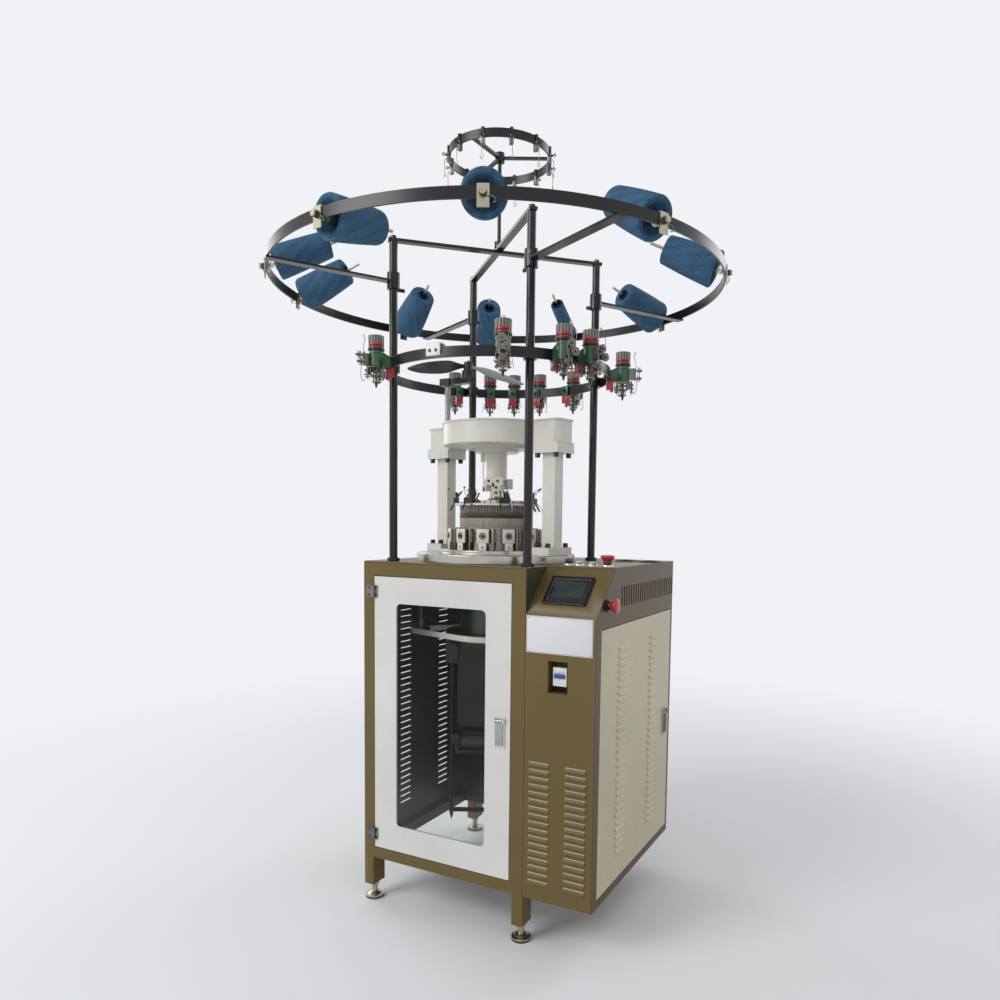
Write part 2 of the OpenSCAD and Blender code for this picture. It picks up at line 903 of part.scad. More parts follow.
// A mushroom head on its plunger, along +Z from the panel: a neck that flares out to the cap
module estop_head() {
    low = collar_h + estop_travel + 1;
    cap_r = 18;
    translate([0, 0, -22])
        cylinder(r = plunger_r, h = 22 + low);
    translate([0, 0, low])
        rotate_extrude()
            polygon([
                [0, 0], [9, 0], [10, 3], [cap_r - 1, 11], [cap_r, 12.5],
                [cap_r, 15.5], [cap_r - 1.5, 17.5], [cap_r - 6, 19], [0, 19.5]
            ]);
}

module estop_top() {
    color(red)
        translate([estop_x, switch_y, top_z])
            estop_head();
}

module estop_side() {
    color(red)
        translate(estop_side_at)
            rotate([0, 90, 0])
                estop_head();
}

module selector() {
    color("#2A2B2D")
        translate([selector_x, switch_y, top_z]) {
            translate([0, 0, -22])
                cylinder(r = plunger_r, h = 22 + collar_h + 1);
            translate([0, 0, collar_h + air])
                cylinder(r = 11, h = 5);
            translate([-3, -11, collar_h + air])
                cube([6, 22, 12]);
        }
}

module push_button(x) {
    translate([x, switch_y, top_z]) {
        translate([0, 0, -22])
            cylinder(r = plunger_r, h = 22 + collar_h + button_travel + 0.5);
        translate([0, 0, collar_h + button_travel + 0.5])
            cylinder(r = 9, h = 3);
    }
}

module button_left() {
    color("#EDECE6")
        push_button(button_xs[0]);
}

module button_right() {
    color("#EDECE6")
        push_button(button_xs[1]);
}

// Knitting head

module base_plate() {
    color(ivory)
        difference() {
            union() {
                translate([0, 0, top_z])
                    cylinder(r = base_r, h = base_t, $fn = 96);
                translate([0, 0, base_top])
                    cylinder(r = step_r, h = step_t, $fn = 96);
            }
            translate([0, 0, top_z - 1])
                cylinder(r = cyl_r + run, h = base_t + step_t + 2, $fn = 96);
        }
}

module columns() {
    block_d = column_d + 16;
    block_w = 102;
    bolt_r = 6;
    bolt_in = 12;
    color(ivory)
        for (side = [0, 180])
            polar(head_turn + side, column_at) {
                box(-column_d / 2, column_d / 2, -column_w / 2, column_w / 2, base_top, boss_z);
                box(-block_d / 2, block_d / 2, -block_w / 2, block_w / 2, base_top, base_top + block_h);
                for (x = [-1, 1], y = [-1, 1])
                    translate([x * (block_d / 2 - bolt_in), y * (block_w / 2 - bolt_in), base_top + block_h])
                        cylinder(r = bolt_r, h = 9);
            }
}

// Outline of the top casting seen from above, grown by more
module casting_outline(more) {
    end = column_at + column_d / 2 + 22.5 + more;
    half = boss_w / 2 + more;
    circle(r = drum_r + more, $fn = 96);
    polygon([
        [end, -half + 14], [end, half - 14], [end - 14, half], [-end + 14, half],
        [-end, half - 14], [-end, -half + 14], [-end + 14, -half], [end - 14, -half]
    ]);
}

module top_casting() {
    boss_l = column_d + 42;
    bolt_r = 6;
    color(ivory)
        rotate([0, 0, head_turn])
            difference() {
                union() {
                    translate([0, 0, drum_z])
                        linear_extrude(height = casting_top - drum_z)
                            casting_outline(0);
                    for (s = [-1, 1])
                        translate([s * column_at, 0, 0])
                            box(-boss_l / 2, boss_l / 2, -boss_w / 2, boss_w / 2, boss_z, drum_z + 1);
                    for (s = [-1, 1], x = [-1, 1], y = [-1, 1])
                        translate([s * column_at + x * (boss_l / 2 - 11), y * (boss_w / 2 - 10), boss_z - 7])
                            cylinder(r = bolt_r, h = 8);
                }
                translate([0, 0, drum_z - 1])
                    cylinder(r = dial_shaft_r + run, h = casting_top - drum_z - 6);
            }
}

module casting_cover() {
    color(ivory)
        rotate([0, 0, head_turn])
            translate([0, 0, casting_top])
                linear_extrude(height = cover_t)
                    casting_outline(3);
}

// A block clamped to the dial's tube, with dark screw sockets up its face
module tube_block(turn, w, depth, z0, z1, sockets) {
    polar(turn, tube_r - 4, tube_low)
        difference() {
            box(0, depth, -w / 2, w / 2, z0, z1);
            for (p = sockets)
                translate([depth - 4, p[0], p[1]])
                    rotate([0, 90, 0])
                        cylinder(r = 3.4, h = 5);
        }
}

module dial_tube() {
    flange_t = 8;
    lower_h = 26;
    color(ivory) {
        difference() {
            union() {
                translate([0, 0, drum_z - flange_t])
                    cylinder(r = 86, h = flange_t);
                translate([0, 0, drum_z - flange_t - 9])
                    cylinder(r = 62, h = 10);
                translate([0, 0, tube_low + lower_h])
                    cylinder(r = tube_r, h = drum_z - tube_low - lower_h);
                translate([0, 0, tube_low])
                    cylinder(r = tube_r - 7, h = lower_h);
                polar(207, tube_r + 9, drum_z - flange_t - 34)
                    translate([-7, -7, 0])
                        cube([14, 14, 30]);
                polar(207, tube_r + 9, tube_low + 30)
                    cylinder(r = 1.6, h = drum_z - tube_low - 50);
            }
            translate([0, 0, tube_low - 1])
                cylinder(r = dial_shaft_r + run, h = drum_z - tube_low + 2);
        }
        tube_block(292, 46, 22, 10, 34, [[-16, 22], [9, 22]]);
        tube_block(298, 26, 26, -20, 12, [[0, -10], [0, 4]]);
        tube_block(245, 18, 18, -6, 12, [[0, 3]]);
        tube_block(52, 30, 18, 2, 30, [[-7, 16], [7, 16]]);
        tube_block(160, 30, 18, 2, 30, [[-7, 16], [7, 16]]);
    }
}

// One cam box: body with its face plate and adjuster, foot block below
module cam_box() {
    box_w = 36;
    foot_z = step_top + 20;
    adjuster_z = foot_z + (cam_top - foot_z) / 2;
    box(-16, 0, -box_w / 2, box_w / 2, foot_z, cam_top - 4);
    difference() {
        box(-2, 3, -box_w / 2 + 3, box_w / 2 - 3, foot_z + 2, cam_top - 6);
        translate([1, 0, adjuster_z])
            rotate([0, 90, 0])
                cylinder(r = 7, h = 4);
    }
    translate([0, 0, adjuster_z])
        rotate([0, 90, 0])
            cylinder(r = 5.2, h = 3);
    box(-16, 5, -11, 11, step_top, foot_z + 1);
}

module cam_ring() {
    first = 25.5;
    color(steel) {
        tube(cam_r - 12, cam_in, step_top, cam_top);
        for (i = [0 : cam_n - 1])
            polar(head_turn + first + i * 360 / cam_n, cam_r)
                cam_box();
    }
}

// One yarn finger group: its block on the ring, two slanting fingers and a clamp screw
module finger_group() {
    block_w = 30;
    ring_top = finger_z + 6;
    box(-1, 13, -block_w / 2, block_w / 2, ring_top - 1, ring_top + 15);
    for (y = [-10, 0, 10])
        translate([7, y, ring_top + 11])
            rotate([0, -38, 0])
                translate([0, -1.6, 0])
                    cube([3.4, 3.2, 27]);
    for (y = [-13, 13])
        translate([10, y, ring_top + 3])
            rotate([0, 148, 0])
                translate([0, -1.2, 0])
                    cube([2.4, 2.4, 26]);
    translate([5, 5, ring_top + 14])
        cylinder(r = 3.6, h = 11);
}

module yarn_fingers() {
    ring_w = 11;
    first = -38;
    post_turns = [8, 188];
    color(black) {
        tube(finger_in + ring_w, finger_in, finger_z, finger_z + 6);
        for (turn = post_turns)
            polar(head_turn + turn, finger_in + ring_w / 2, cam_top)
                box(-4.5, 4.5, -6, 6, 0, finger_z - cam_top);
        for (i = [0 : finger_n - 1])
            polar(head_turn + first + i * 360 / finger_n, finger_in)
                finger_group();
    }
}

// Seats the needles: one short bar in each groove, standing above the verge
module needle_cylinder() {
    in_r = cyl_r - cyl_wall;
    groove_low = cam_top + 6;
    color(steel) {
        tube(cyl_r, in_r, cyl_low, groove_low);
        translate([0, 0, groove_low])
            linear_extrude(height = cyl_top - groove_low)
                difference() {
                    circle(r = cyl_r);
                    circle(r = in_r);
                    for (i = [0 : needles_n - 1])
                        rotate([0, 0, i * 360 / needles_n])
                            translate([cyl_r - groove_d, -groove_w / 2])
                                square([groove_d + 1, groove_w]);
                }
        tube(cyl_r + 2.5, cyl_r - 0.5, step_top + air, step_top + 8);
        tube(cyl_r + 1.5, cyl_r - groove_d - 0.5, cyl_top - 38, cyl_top - 31);
    }
}

module dial() {
    tricks = 36;
    color(ivory) {
        translate([0, 0, dial_z])
            linear_extrude(height = dial_t)
                difference() {
                    circle(r = dial_r);
                    for (i = [0 : tricks - 1])
                        rotate([0, 0, i * 360 / tricks])
                            translate([dial_r - 9, -1.2])
                                square([10, 2.4]);
                }
        translate([0, 0, dial_z + dial_t])
            cylinder(r1 = 32, r2 = 19, h = 10);
        translate([0, 0, dial_z + dial_t])
            cylinder(r = 19, h = hub_top - dial_z - dial_t);
        translate([0, 0, dial_z])
            cylinder(r = dial_shaft_r, h = casting_top - 12 - dial_z);
    }
}

// Drive and take-down

module rotor_pulley() {
    web_t = 8;
    color(steel) {
        tube(rotor_tube_r, rotor_tube_in, belt_z - 2, cyl_low);
        difference() {
            union() {
                tube(big_pulley_r, rotor_tube_in, belt_z - 1, belt_z + belt_w + 1);
                tube(big_pulley_r + 5, rotor_tube_in, belt_z - 3, belt_z - 1);
            }
            for (i = [0 : 5])
                polar(i * 60, (big_pulley_r + rotor_tube_r) / 2, belt_z + web_t - 1)
                    cylinder(r = 15, h = belt_w + 2);
        }
    }
}

// The closed loop of the belt round both pulleys, seen from above and grown by more
module belt_outline(more) {
    lean = asin((big_pulley_r - small_pulley_r) / drive_at);
    corners = [
        [0, big_pulley_r, 1], [drive_at, small_pulley_r, 1],
        [drive_at, small_pulley_r, -1], [0, big_pulley_r, -1]
    ];
    rotate([0, 0, drive_turn]) {
        circle(r = big_pulley_r + more, $fn = 96);
        translate([drive_at, 0])
            circle(r = small_pulley_r + more);
        polygon([for (p = corners) [p[0] + (p[1] + more) * sin(lean), p[2] * (p[1] + more) * cos(lean)]]);
    }
}

module drive_belt() {
    color("#C8C9C6")
        translate([0, 0, belt_z])
            linear_extrude(height = belt_w)
                difference() {
                    belt_outline(air + belt_t);
                    belt_outline(air);
                }
}

module drive_motor() {
    color(black)
        translate([drive_xy[0], drive_xy[1], 0])
            difference() {
                union() {
                    box(-motor_w / 2, motor_w / 2, -motor_w / 2, motor_w / 2, lid_z - motor_h, lid_z);
                    translate([0, 0, lid_z - motor_h - 14])
                        cylinder(r = 26, h = 15);
                }
                translate([0, 0, lid_z - motor_h - 15])
                    cylinder(r = drive_shaft_r + run, h = 60);
            }
}

module drive_shaft() {
    color(steel)
        translate([drive_xy[0], drive_xy[1], 0]) {
            translate([0, 0, belt_z - 6])
                cylinder(r = drive_shaft_r, h = lid_z - motor_h + 40 - belt_z);
            translate([0, 0, belt_z - 1])
                cylinder(r = small_pulley_r, h = belt_w + 2);
            translate([0, 0, belt_z - 4])
                cylinder(r = small_pulley_r + 5, h = 3);
            translate([0, 0, belt_z + belt_w + 1])
                cylinder(r = 17, h = 24);
        }
}

module takedown_frame() {
    plate_top = belt_z - 3;
    frame_low = plate_top - frame_plate_t;
    carriage_t = 10;
    color(black)
        rotate([0, 0, takedown_turn]) {
            tube(big_pulley_r - 4, rotor_tube_in, frame_low, plate_top);
            for (s = [-1, 1]) {
                translate([s * rod_at, 0, takedown_low])
                    cylinder(r = rod_r, h = frame_low - takedown_low + 1);
                translate([s * rod_at, 0, takedown_low - 22])
                    cylinder(r1 = 1.5, r2 = rod_r, h = 22);
                translate([s * rod_at - 17, -24, frame_low - 62])
                    cube([34, 48, 62]);
                translate([s * (carriage_w / 2 - carriage_t / 2), 0, roller_z])
                    difference() {
                        box(-carriage_t / 2, carriage_t / 2, -52, 52, -30, 30);
                        for (y = [-1, 1])
                            translate([-carriage_t, y * (roller_r + roller_gap), 0])
                                rotate([0, 90, 0])
                                    cylinder(r = 5 + run, h = 2 * carriage_t);
                    }
                translate([s * (carriage_w / 2 + 8) - 9, -9, roller_z - 14])
                    cube([18, 18, 28]);
            }
            box(-rod_at, rod_at, -5, 5, takedown_low, takedown_low + 10);
            for (y = [-50, 44])
                box(-carriage_w / 2, carriage_w / 2, y, y + 6, roller_z - 28, roller_z - 18);
        }
    color("#7E8480")
        rotate([0, 0, takedown_turn])
            box(-carriage_w / 2 - 2, carriage_w / 2 + 2, 20, 24, roller_z + 30, frame_low);
}

// One take-down roller with its two journals, on one side of the nip
module roller(side) {
    knurls = 24;
    rotate([0, 0, takedown_turn])
        translate([-roller_l / 2, side * (roller_r + roller_gap), roller_z])
            rotate([0, 90, 0]) {
                linear_extrude(height = roller_l)
                    ribbed_circle(roller_r, 0.8, knurls);
                translate([0, 0, -13])
                    cylinder(r = 5, h = roller_l + 26);
            }
}

module roller_front() {
    color(steel)
        roller(-1);
}

module roller_back() {
    color(steel)
        roller(1);
}

// Creel

// Corner posts: the pair under the upper crossbar is longer by one bar
function post_xy(i) = [(i == 0 || i == 3 ? -1 : 1) * post_x, (i < 2 ? -1 : 1) * post_y];
function post_end(i) = post_top + (i % 2) * bar_t;

module creel_posts() {
    stud_r = 5;
    color(black)
        for (i = [0 : 3])
            translate([post_xy(i)[0], post_xy(i)[1], 0]) {
                translate([0, 0, top_z])
                    cylinder(r = post_r, h = post_end(i) - top_z);
                translate([0, 0, top_z])
                    cylinder(r = post_r + 6, h = 9);
                translate([0, 0, post_end(i)])
                    cylinder(r = stud_r, h = bar_t + 9);
                translate([0, 0, post_end(i) + bar_t])
                    cylinder(r = stud_r + 4, h = 7, $fn = 6);
            }
}

module crossbars() {
    diagonal = 2 * norm(post_xy(0));
    turn = atan2(post_y, post_x);
    color(black)
        for (i = [0, 1])
            translate([0, 0, post_top + i * bar_t])
                rotate([0, 0, i == 0 ? turn : -turn])
                    difference() {
                        translate([-diagonal / 2 - 14, -bar_w / 2, 0])
                            cube([diagonal + 28, bar_w, bar_t]);
                        for (s = [-1, 1])
                            translate([s * diagonal / 2, 0, -1])
                                cylinder(r = 5 + run, h = bar_t + 2);
                    }
}

module top_ring() {
    band_h = 22;
    band_t = 4;
    guides = 12;
    foot = post_top + 2 * bar_t;
    color(black) {
        translate([0, 0, foot])
            cylinder(r = mast_r, h = mast_h + 8);
        translate([0, 0, foot])
            cylinder(r = 13, h = 16);
        translate([0, 0, mast_top - 12])
            cylinder(r = 13, h = 24);
        tube(top_ring_r, top_ring_r - band_t, mast_top - band_h / 2, mast_top + band_h / 2);
        for (turn = [27, 147, 267])
            rotate([0, 0, turn])
                translate([10, -6, mast_top - 3])
                    cube([top_ring_r - band_t - 9, 12, 5]);
        for (i = [0 : guides - 1])
            polar(12 + i * 360 / guides, top_ring_r, mast_top) {
                translate([-band_t - 2, -4, -14])
                    cube([band_t + 5, 8, 28]);
                translate([2, 0, -9])
                    rotate([0, 90, 0])
                        cylinder(r = 1.5, h = 8);
                translate([13, 1, -9])
                    rotate([90, 0, 0])
                        tube(4, 2.2, 0, 2);
            }
    }
}

module creel_ring() {
    color(black)
        translate([0, 0, creel_z - creel_h / 2])
            difference() {
                cylinder(r = creel_r + creel_t / 2, h = creel_h, $fn = 144);
                translate([0, 0, -1])
                    cylinder(r = creel_r - creel_t / 2, h = creel_h + 2, $fn = 144);
            }
}

module creel_arms() {
    color(black)
        for (i = [0 : 3]) {
            p = post_xy(i);
            end_turn = atan2(p[1], p[0]) + arm_turn;
            reach = creel_r + creel_t / 2 + 4;
            q = [reach * cos(end_turn), reach * sin(end_turn)];
            difference() {
                union() {
                    translate([p[0], p[1], arm_z1 - sleeve_h + 20])
                        cylinder(r = sleeve_r, h = sleeve_h);
                    translate([p[0], p[1], arm_z1 - arm_t])
                        rotate([0, 0, atan2(q[1] - p[1], q[0] - p[0])])
                            translate([0, -arm_w / 2, 0])
                                cube([norm(q - p), arm_w, arm_t]);
                    translate([p[0], p[1], arm_z1 - arm_t - 16])
                        rotate([0, 0, atan2(q[1] - p[1], q[0] - p[0]) + 180])
                            rotate([0, 90, 0])
                                cylinder(r = 5, h = sleeve_r + 14);
                }
                translate([p[0], p[1], arm_z1 - sleeve_h])
                    cylinder(r = post_r, h = 2 * sleeve_h);
            }
        }
}

// Runs along a cone's spindle: Z points inwards and up
module on_spindle(cone) {
    rotate([0, 0, cone[0]])
        translate([spindle_from[0], 0, spindle_from[1]])
            rotate([0, spindle_rise + cone[1] - 90, 0])
                children();
}

module cone_holders() {
    plate_w = 25;
    inner = creel_r - creel_t / 2 - holder_air;
    outer = creel_r + creel_t / 2;
    tab_z = creel_z + creel_h / 2;
    color(steel)
        for (cone = cones) {
            rotate([0, 0, cone[0]]) {
                box(outer, outer + holder_t, -plate_w / 2, plate_w / 2, creel_z - 30, tab_z + holder_t);
                box(inner - holder_t, outer + 1, -plate_w / 2, plate_w / 2, tab_z, tab_z + holder_t);
                translate([inner - holder_t, -plate_w / 2, creel_z - creel_h / 2])
                    cube([holder_t, plate_w, creel_h + holder_t]);
            }
            polar(cone[0], outer + holder_t, creel_z - 2)
                rotate([0, 90, 0])
                    cylinder(r = 7, h = 12);
            on_spindle(cone) {
                cylinder(r = spindle_r, h = spindle_l);
                translate([0, 0, cone_from - 4])
                    cylinder(r = 15, h = 4);
                translate([0, 0, cone_from])
                    cylinder(r = cone_hole_r - 0.4, h = 16);
            }
        }
}

// Wound yarn on a core: the core stands out a little at the free end, the yarn's ring end is hollow
module yarn_cone(fill) {
    big = core_r + fill * (cone_big_r - core_r);
    small = core_r + fill * (cone_small_r - core_r);
    edge = 5 * fill;
    dish = (big - core_r) * 0.55;
    difference() {
        union() {
            translate([0, 0, edge])
                cylinder(r1 = big, r2 = small, h = cone_l - 2 * edge);
            cylinder(r1 = big - edge, r2 = big, h = edge);
            translate([0, 0, cone_l - edge])
                cylinder(r1 = small, r2 = small - edge, h = edge);
        }
        translate([0, 0, -1])
            cylinder(r1 = core_r + dish, r2 = core_r - 1, h = 1 + 20 * fill);
        translate([0, 0, -1])
            cylinder(r = cone_hole_r, h = cone_l + 2);
    }
    tube(core_r, cone_hole_r, 1, cone_l + 4);
}

module yarn_cones() {
    color("#3F5F85")
        for (cone = cones)
            on_spindle(cone)
                translate([0, 0, cone_from])
                    yarn_cone(cone[2]);
}

// Feeders

module feeder_ring() {
    half = feeder_ring_h / 2;
    inner = feeder_ring_r - feeder_ring_t / 2;
    color(black) {
        tube(feeder_ring_r + feeder_ring_t / 2, inner, feeder_z - half, feeder_z + half);
        for (i = [0 : 3]) {
            p = post_xy(i);
            difference() {
                union() {
                    translate([p[0], p[1], feeder_z - half])
                        cylinder(r = sleeve_r, h = feeder_ring_h);
                    rotate([0, 0, atan2(p[1], p[0])])
                        box(norm(p), inner + 1, -9, 9, feeder_z - half, feeder_z + half);
                }
                translate([p[0], p[1], feeder_z - half - 1])
                    cylinder(r = post_r, h = feeder_ring_h + 2);
            }
        }
        polar(270, inner + 1, feeder_z + 8)
            translate([-14, -20, -16])
                cube([14, 40, 32]);
    }
}

// A feeder's own frame: X points away from the knitting axis, Z = 0 is the middle of the band
module at_feeder(i) {
    polar(feeder_turns[i], feeder_ring_r + feeder_out, feeder_z)
        children();
}

// A feeder's casting: it slopes from the drum down to the clamp on the ring, with a stop-motion box below
module feeder_casting() {
    clamp_in = -feeder_out - feeder_ring_t / 2 - 6;
    width = 25;
    half = feeder_ring_h / 2;
    translate([0, 0, -body_down])
        cylinder(r = feeder_r - 2, h = body_up + body_down);
    translate([0, width / 2, 0])
        rotate([90, 0, 0])
            linear_extrude(height = width)
                polygon([
                    [clamp_in, -half - 3], [clamp_in, half + 1], [-feeder_out + 6, half + 2],
                    [-feeder_r + 6, body_up - 3], [0, body_up], [0, -body_down], [-feeder_r, -body_down]
                ]);
    box(clamp_in, clamp_in + 20, -11, 11, -half - 25, -half - 2);
}

// A feeder's yarn tensioner: a bracket on the outer side with two pairs of discs
module feeder_tensioner() {
    disc_r = 10;
    reach = feeder_r + 15;
    box(feeder_r - 4, reach, -9, -6, -12, 20);
    box(reach - 3, reach, -12, 12, -12, 20);
    for (p = [[-5, 14], [6, -5]])
        translate([reach, p[0], p[1]])
            rotate([0, 90, 0]) {
                cylinder(r = 2.2, h = 17);
                for (z = [5, 8.5])
                    translate([0, 0, z])
                        cylinder(r = disc_r, h = 2);
            }
}

module feeder_bodies() {
    ring_out = feeder_ring_r + feeder_ring_t / 2;
    grip = 0.05;
    grip_z = feeder_ring_h / 2 + grip;
    color(green)
        for (i = [0 : len(feeder_turns) - 1])
            difference() {
                at_feeder(i) {
                    feeder_casting();
                    feeder_tensioner();
                }
                at_feeder(i)
                    translate([0, 0, -body_down - 1])
                        cylinder(r = feeder_shaft_r + run, h = body_up + body_down + 2);
                translate([0, 0, feeder_z])
                    tube(ring_out + grip, ring_out - feeder_ring_t - grip, -grip_z, grip_z);
            }
}

// The turning part of a feeder: clutch rings, ribbed drum, spindle, yarn cage and tip
module feeder_wheel(i) {
    ribs = 20;
    pins = 8;
    clutch_h = 18;
    drum_h = 20;
    cage_top = -body_down - air;
    cage_low = cage_top - cage_h;
    clutch_z = body_up + air;
    at_feeder(i) {
        translate([0, 0, cage_low - tip_h])
            cylinder(r = feeder_shaft_r, h = tip_h + cage_h + body_down + clutch_z + clutch_h + drum_h + 3);
        translate([0, 0, clutch_z])
            cylinder(r = feeder_r + 1, h = 4);
        translate([0, 0, clutch_z + 4])
            cylinder(r = feeder_r - 1, h = clutch_h - 8);
        translate([0, 0, clutch_z + clutch_h - 4])
            cylinder(r = feeder_r + 0.5, h = 4);
        translate([0, 0, clutch_z + clutch_h])
            linear_extrude(height = drum_h)
                ribbed_circle(feeder_r - 0.5, 1.6, ribs);
        translate([0, 0, cage_top - 3])
            cylinder(r = feeder_r - 2, h = 3);
        for (k = [0 : pins - 1])
            polar(k * 360 / pins, feeder_r - 5, cage_low)
                cylinder(r = 1.5, h = cage_h - 2);
        translate([0, 0, cage_low - 4])
            cylinder(r = feeder_r - 2, h = 5);
        translate([0, 0, cage_low - tip_h])
            cylinder(r1 = 5, r2 = feeder_r - 6, h = tip_h - 4);
    }
}

module feeder_wheel_node(i) {
    color("#9A9B98")
        feeder_wheel(i);
}

// Lint fan

module on_fan() {
    translate(fan_hub)
        rotate([0, fan_tilt, 0])
            children();
}

module fan_stand() {
    head_w = 34;
    head_h = 20;
    housing_z = pole_top - 4;
    motor_h = 24;
    color(steel)
        difference() {
            union() {
                translate([pole_xy[0], pole_xy[1], cover_top]) {
                    cylinder(r = pole_r, h = pole_h);
                    cylinder(r = pole_r + 7, h = 14);
                }
                translate([pole_xy[0], pole_xy[1], housing_z])
                    rotate([0, 0, atan2(fan_hub[1] - pole_xy[1], fan_hub[0] - pole_xy[0])]) {
                        box(-head_w / 2, head_w / 2, -head_w / 2, head_w / 2, 0, head_h);
                        box(0, 88, -13, 13, 2, head_h - 1);
                    }
                on_fan()
                    translate([0, 0, fan_motor_top - motor_h])
                        cylinder(r = 17, h = motor_h);
            }
            on_fan()
                translate([0, 0, fan_motor_top - 18])
                    cylinder(r = 5 + run, h = 30);
        }
}

module fan_blades() {
    blade_t = 3;
    pitch = 23;
    first = 50;
    wide = blade_l * 0.62;
    tip = blade_l * 0.86;
    color("#6F7472")
        on_fan() {
            translate([0, 0, fan_motor_top - 17])
                cylinder(r = 5, h = 30);
            translate([0, 0, fan_motor_top + air])
                cylinder(r = 12.5, h = 26);
            for (turn = [first, first + 180])
                rotate([0, fan_droop, turn])
                    rotate([pitch, 0, 0])
                        linear_extrude(height = blade_t)
                            polygon([
                                [8, -7], [24, -9], [52, -26], [wide, -27], [tip, -17], [blade_l, -3],
                                [blade_l, 4], [tip, 13], [wide, 22], [52, 24], [24, 9], [8, 7]
                            ]);
        }
}

cabinet_frame();
cabinet_lid();
left_panel();
back_panel();
rear_partition();
control_box();
drive_modules();
levelling_feet();
door_hinges();
touch_screen();
breaker();
switch_collars();
base_plate();
columns();
top_casting();
casting_cover();
dial_tube();
cam_ring();
yarn_fingers();
creel_posts();
crossbars();
top_ring();
creel_ring();
creel_arms();
cone_holders();
yarn_cones();
feeder_ring();
feeder_bodies();
fan_stand();
drive_motor();
drive_belt();
needle_cylinder();
rotor_pulley();
takedown_frame();
dial();
roller_front();
roller_back();
drive_shaft();
fan_blades();
feeder_wheel_node(0);  // feeder_wheel_1
feeder_wheel_node(1);  // feeder_wheel_2
feeder_wheel_node(2);  // feeder_wheel_3
feeder_wheel_node(3);  // feeder_wheel_4
feeder_wheel_node(4);  // feeder_wheel_5
feeder_wheel_node(5);  // feeder_wheel_6
feeder_wheel_node(6);  // feeder_wheel_7
feeder_wheel_node(7);  // feeder_wheel_8
feeder_wheel_node(8);  // feeder_wheel_9
feeder_wheel_node(9);  // feeder_wheel_10
front_door();
door_glass();
front_latch();
side_door();
side_latch();
breaker_toggle();
estop_top();
estop_side();
selector();
button_left();
button_right();
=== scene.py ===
import math

import bmesh
import bpy
from mathutils import Euler, Matrix, Vector


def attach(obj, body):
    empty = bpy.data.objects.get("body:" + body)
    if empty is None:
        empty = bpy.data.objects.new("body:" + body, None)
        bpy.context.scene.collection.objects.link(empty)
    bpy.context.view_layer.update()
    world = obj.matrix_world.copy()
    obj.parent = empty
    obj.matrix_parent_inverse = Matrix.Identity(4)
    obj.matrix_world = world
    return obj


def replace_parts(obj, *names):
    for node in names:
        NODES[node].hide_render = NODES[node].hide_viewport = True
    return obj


bl_info = {
    "name": "Circular Knitting Machine",
    "version": (1, 0, 0),
    "blender": (4, 5, 0),
    "location": "View3D > Sidebar > Knitting Machine",
    "description": "Dresses the frame of a circular hat knitting machine with its finishes and fittings",
    "category": "Add Mesh",
}

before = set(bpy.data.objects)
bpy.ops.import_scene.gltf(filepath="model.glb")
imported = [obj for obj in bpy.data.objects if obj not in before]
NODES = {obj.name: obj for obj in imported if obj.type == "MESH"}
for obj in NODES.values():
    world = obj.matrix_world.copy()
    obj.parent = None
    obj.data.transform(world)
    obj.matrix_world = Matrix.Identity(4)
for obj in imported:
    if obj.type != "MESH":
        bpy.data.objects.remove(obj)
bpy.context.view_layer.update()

# Camera, measured in the row frame
CAMERA_AT = (1.0804, -1.8689, 1.0630)
CAMERA_YAW = math.radians(27.34)
CAMERA_PITCH = math.radians(4.32)
CAMERA_ROLL = math.radians(0.77)
CAMERA_LENS = 27.4
CAMERA_SHIFT = (-0.0314, 0.0794)

# Measures of the frame in millimetres, as its parts have them
MM = 0.001
HEAD_TURN = -11
COLUMN_AT = 197
FEEDER_TURNS = (302, 327, 341, 25, 77, 97, 111, 124, 143, 236)
FEEDER_WHEELS = [f"feeder_wheel_{i + 1}" for i in range(len(FEEDER_TURNS))]
FEEDER_AT = 347
FEEDER_Z = 1468
FEEDER_SHAFT_R = 4
# Yarn cones: direction on the creel ring, bend of the spindle, how full the cone is
CONES = (
    (261, -17, 1.0), (222, 0, 0.8), (195, 0, 0.95), (152, 6, 1.05), (124, -1, 1.02),
    (95, 2, 0.2), (61, -5, 1.05), (13, 0, 0.95), (335, 5, 1.0), (297, -3, 1.0),
)
CONE_FROM = 18
CONE_L = 145
CORE_R = 17
SPINDLE_AT = 601.3
SPINDLE_Z = 1708
SPINDLE_RISE = 25
FAN_HUB = (-95, -4.07, 1500)
FAN_TILT = 4
TOP_Z = 952
FRONT_Y = -237.5
SLOPE_MID = (311.75, -180.75, 895.25)
SLOPE_RISE = 45
SWITCH_Y = -84
SELECTOR_X = 265.5
BUTTONS = {"button_left": 294.5, "button_right": 331.5}
ESTOP_TOP = (372.5, SWITCH_Y, TOP_Z)
ESTOP_SIDE = (410, -178.9, 865.6)
HINGE_X = -242.5
HINGE_ZS = (196, 870)
FOOT_XS = (-262.5, 207.5)
FOOT_YS = (-212.5, 327.5)
# How many of each stand round the knitting axis
NEEDLES = 72
CAM_BOXES = 12
FINGER_GROUPS = 7
TOP_CLIPS = 12
# The room inside the cabinet in metres, from low to high along X, Y and Z; its inner faces take painted
# shade
INSIDE = ((-0.2772, 0.2229), (-0.2345, 0.3507), (0.128, 0.9482))
# Turns a part that was made along Z: to point along X, and to face the front
TO_X = (0, 90, 0)
TO_FRONT = (90, 0, 0)


def tone(code):
    """A linear colour from the six hex digits of a screen colour."""
    parts = [int(code[i : i + 2], 16) / 255 for i in (0, 2, 4)]
    linear = [p / 12.92 if p <= 0.04045 else ((p + 0.055) / 1.055) ** 2.4 for p in parts]
    return (*linear, 1.0)


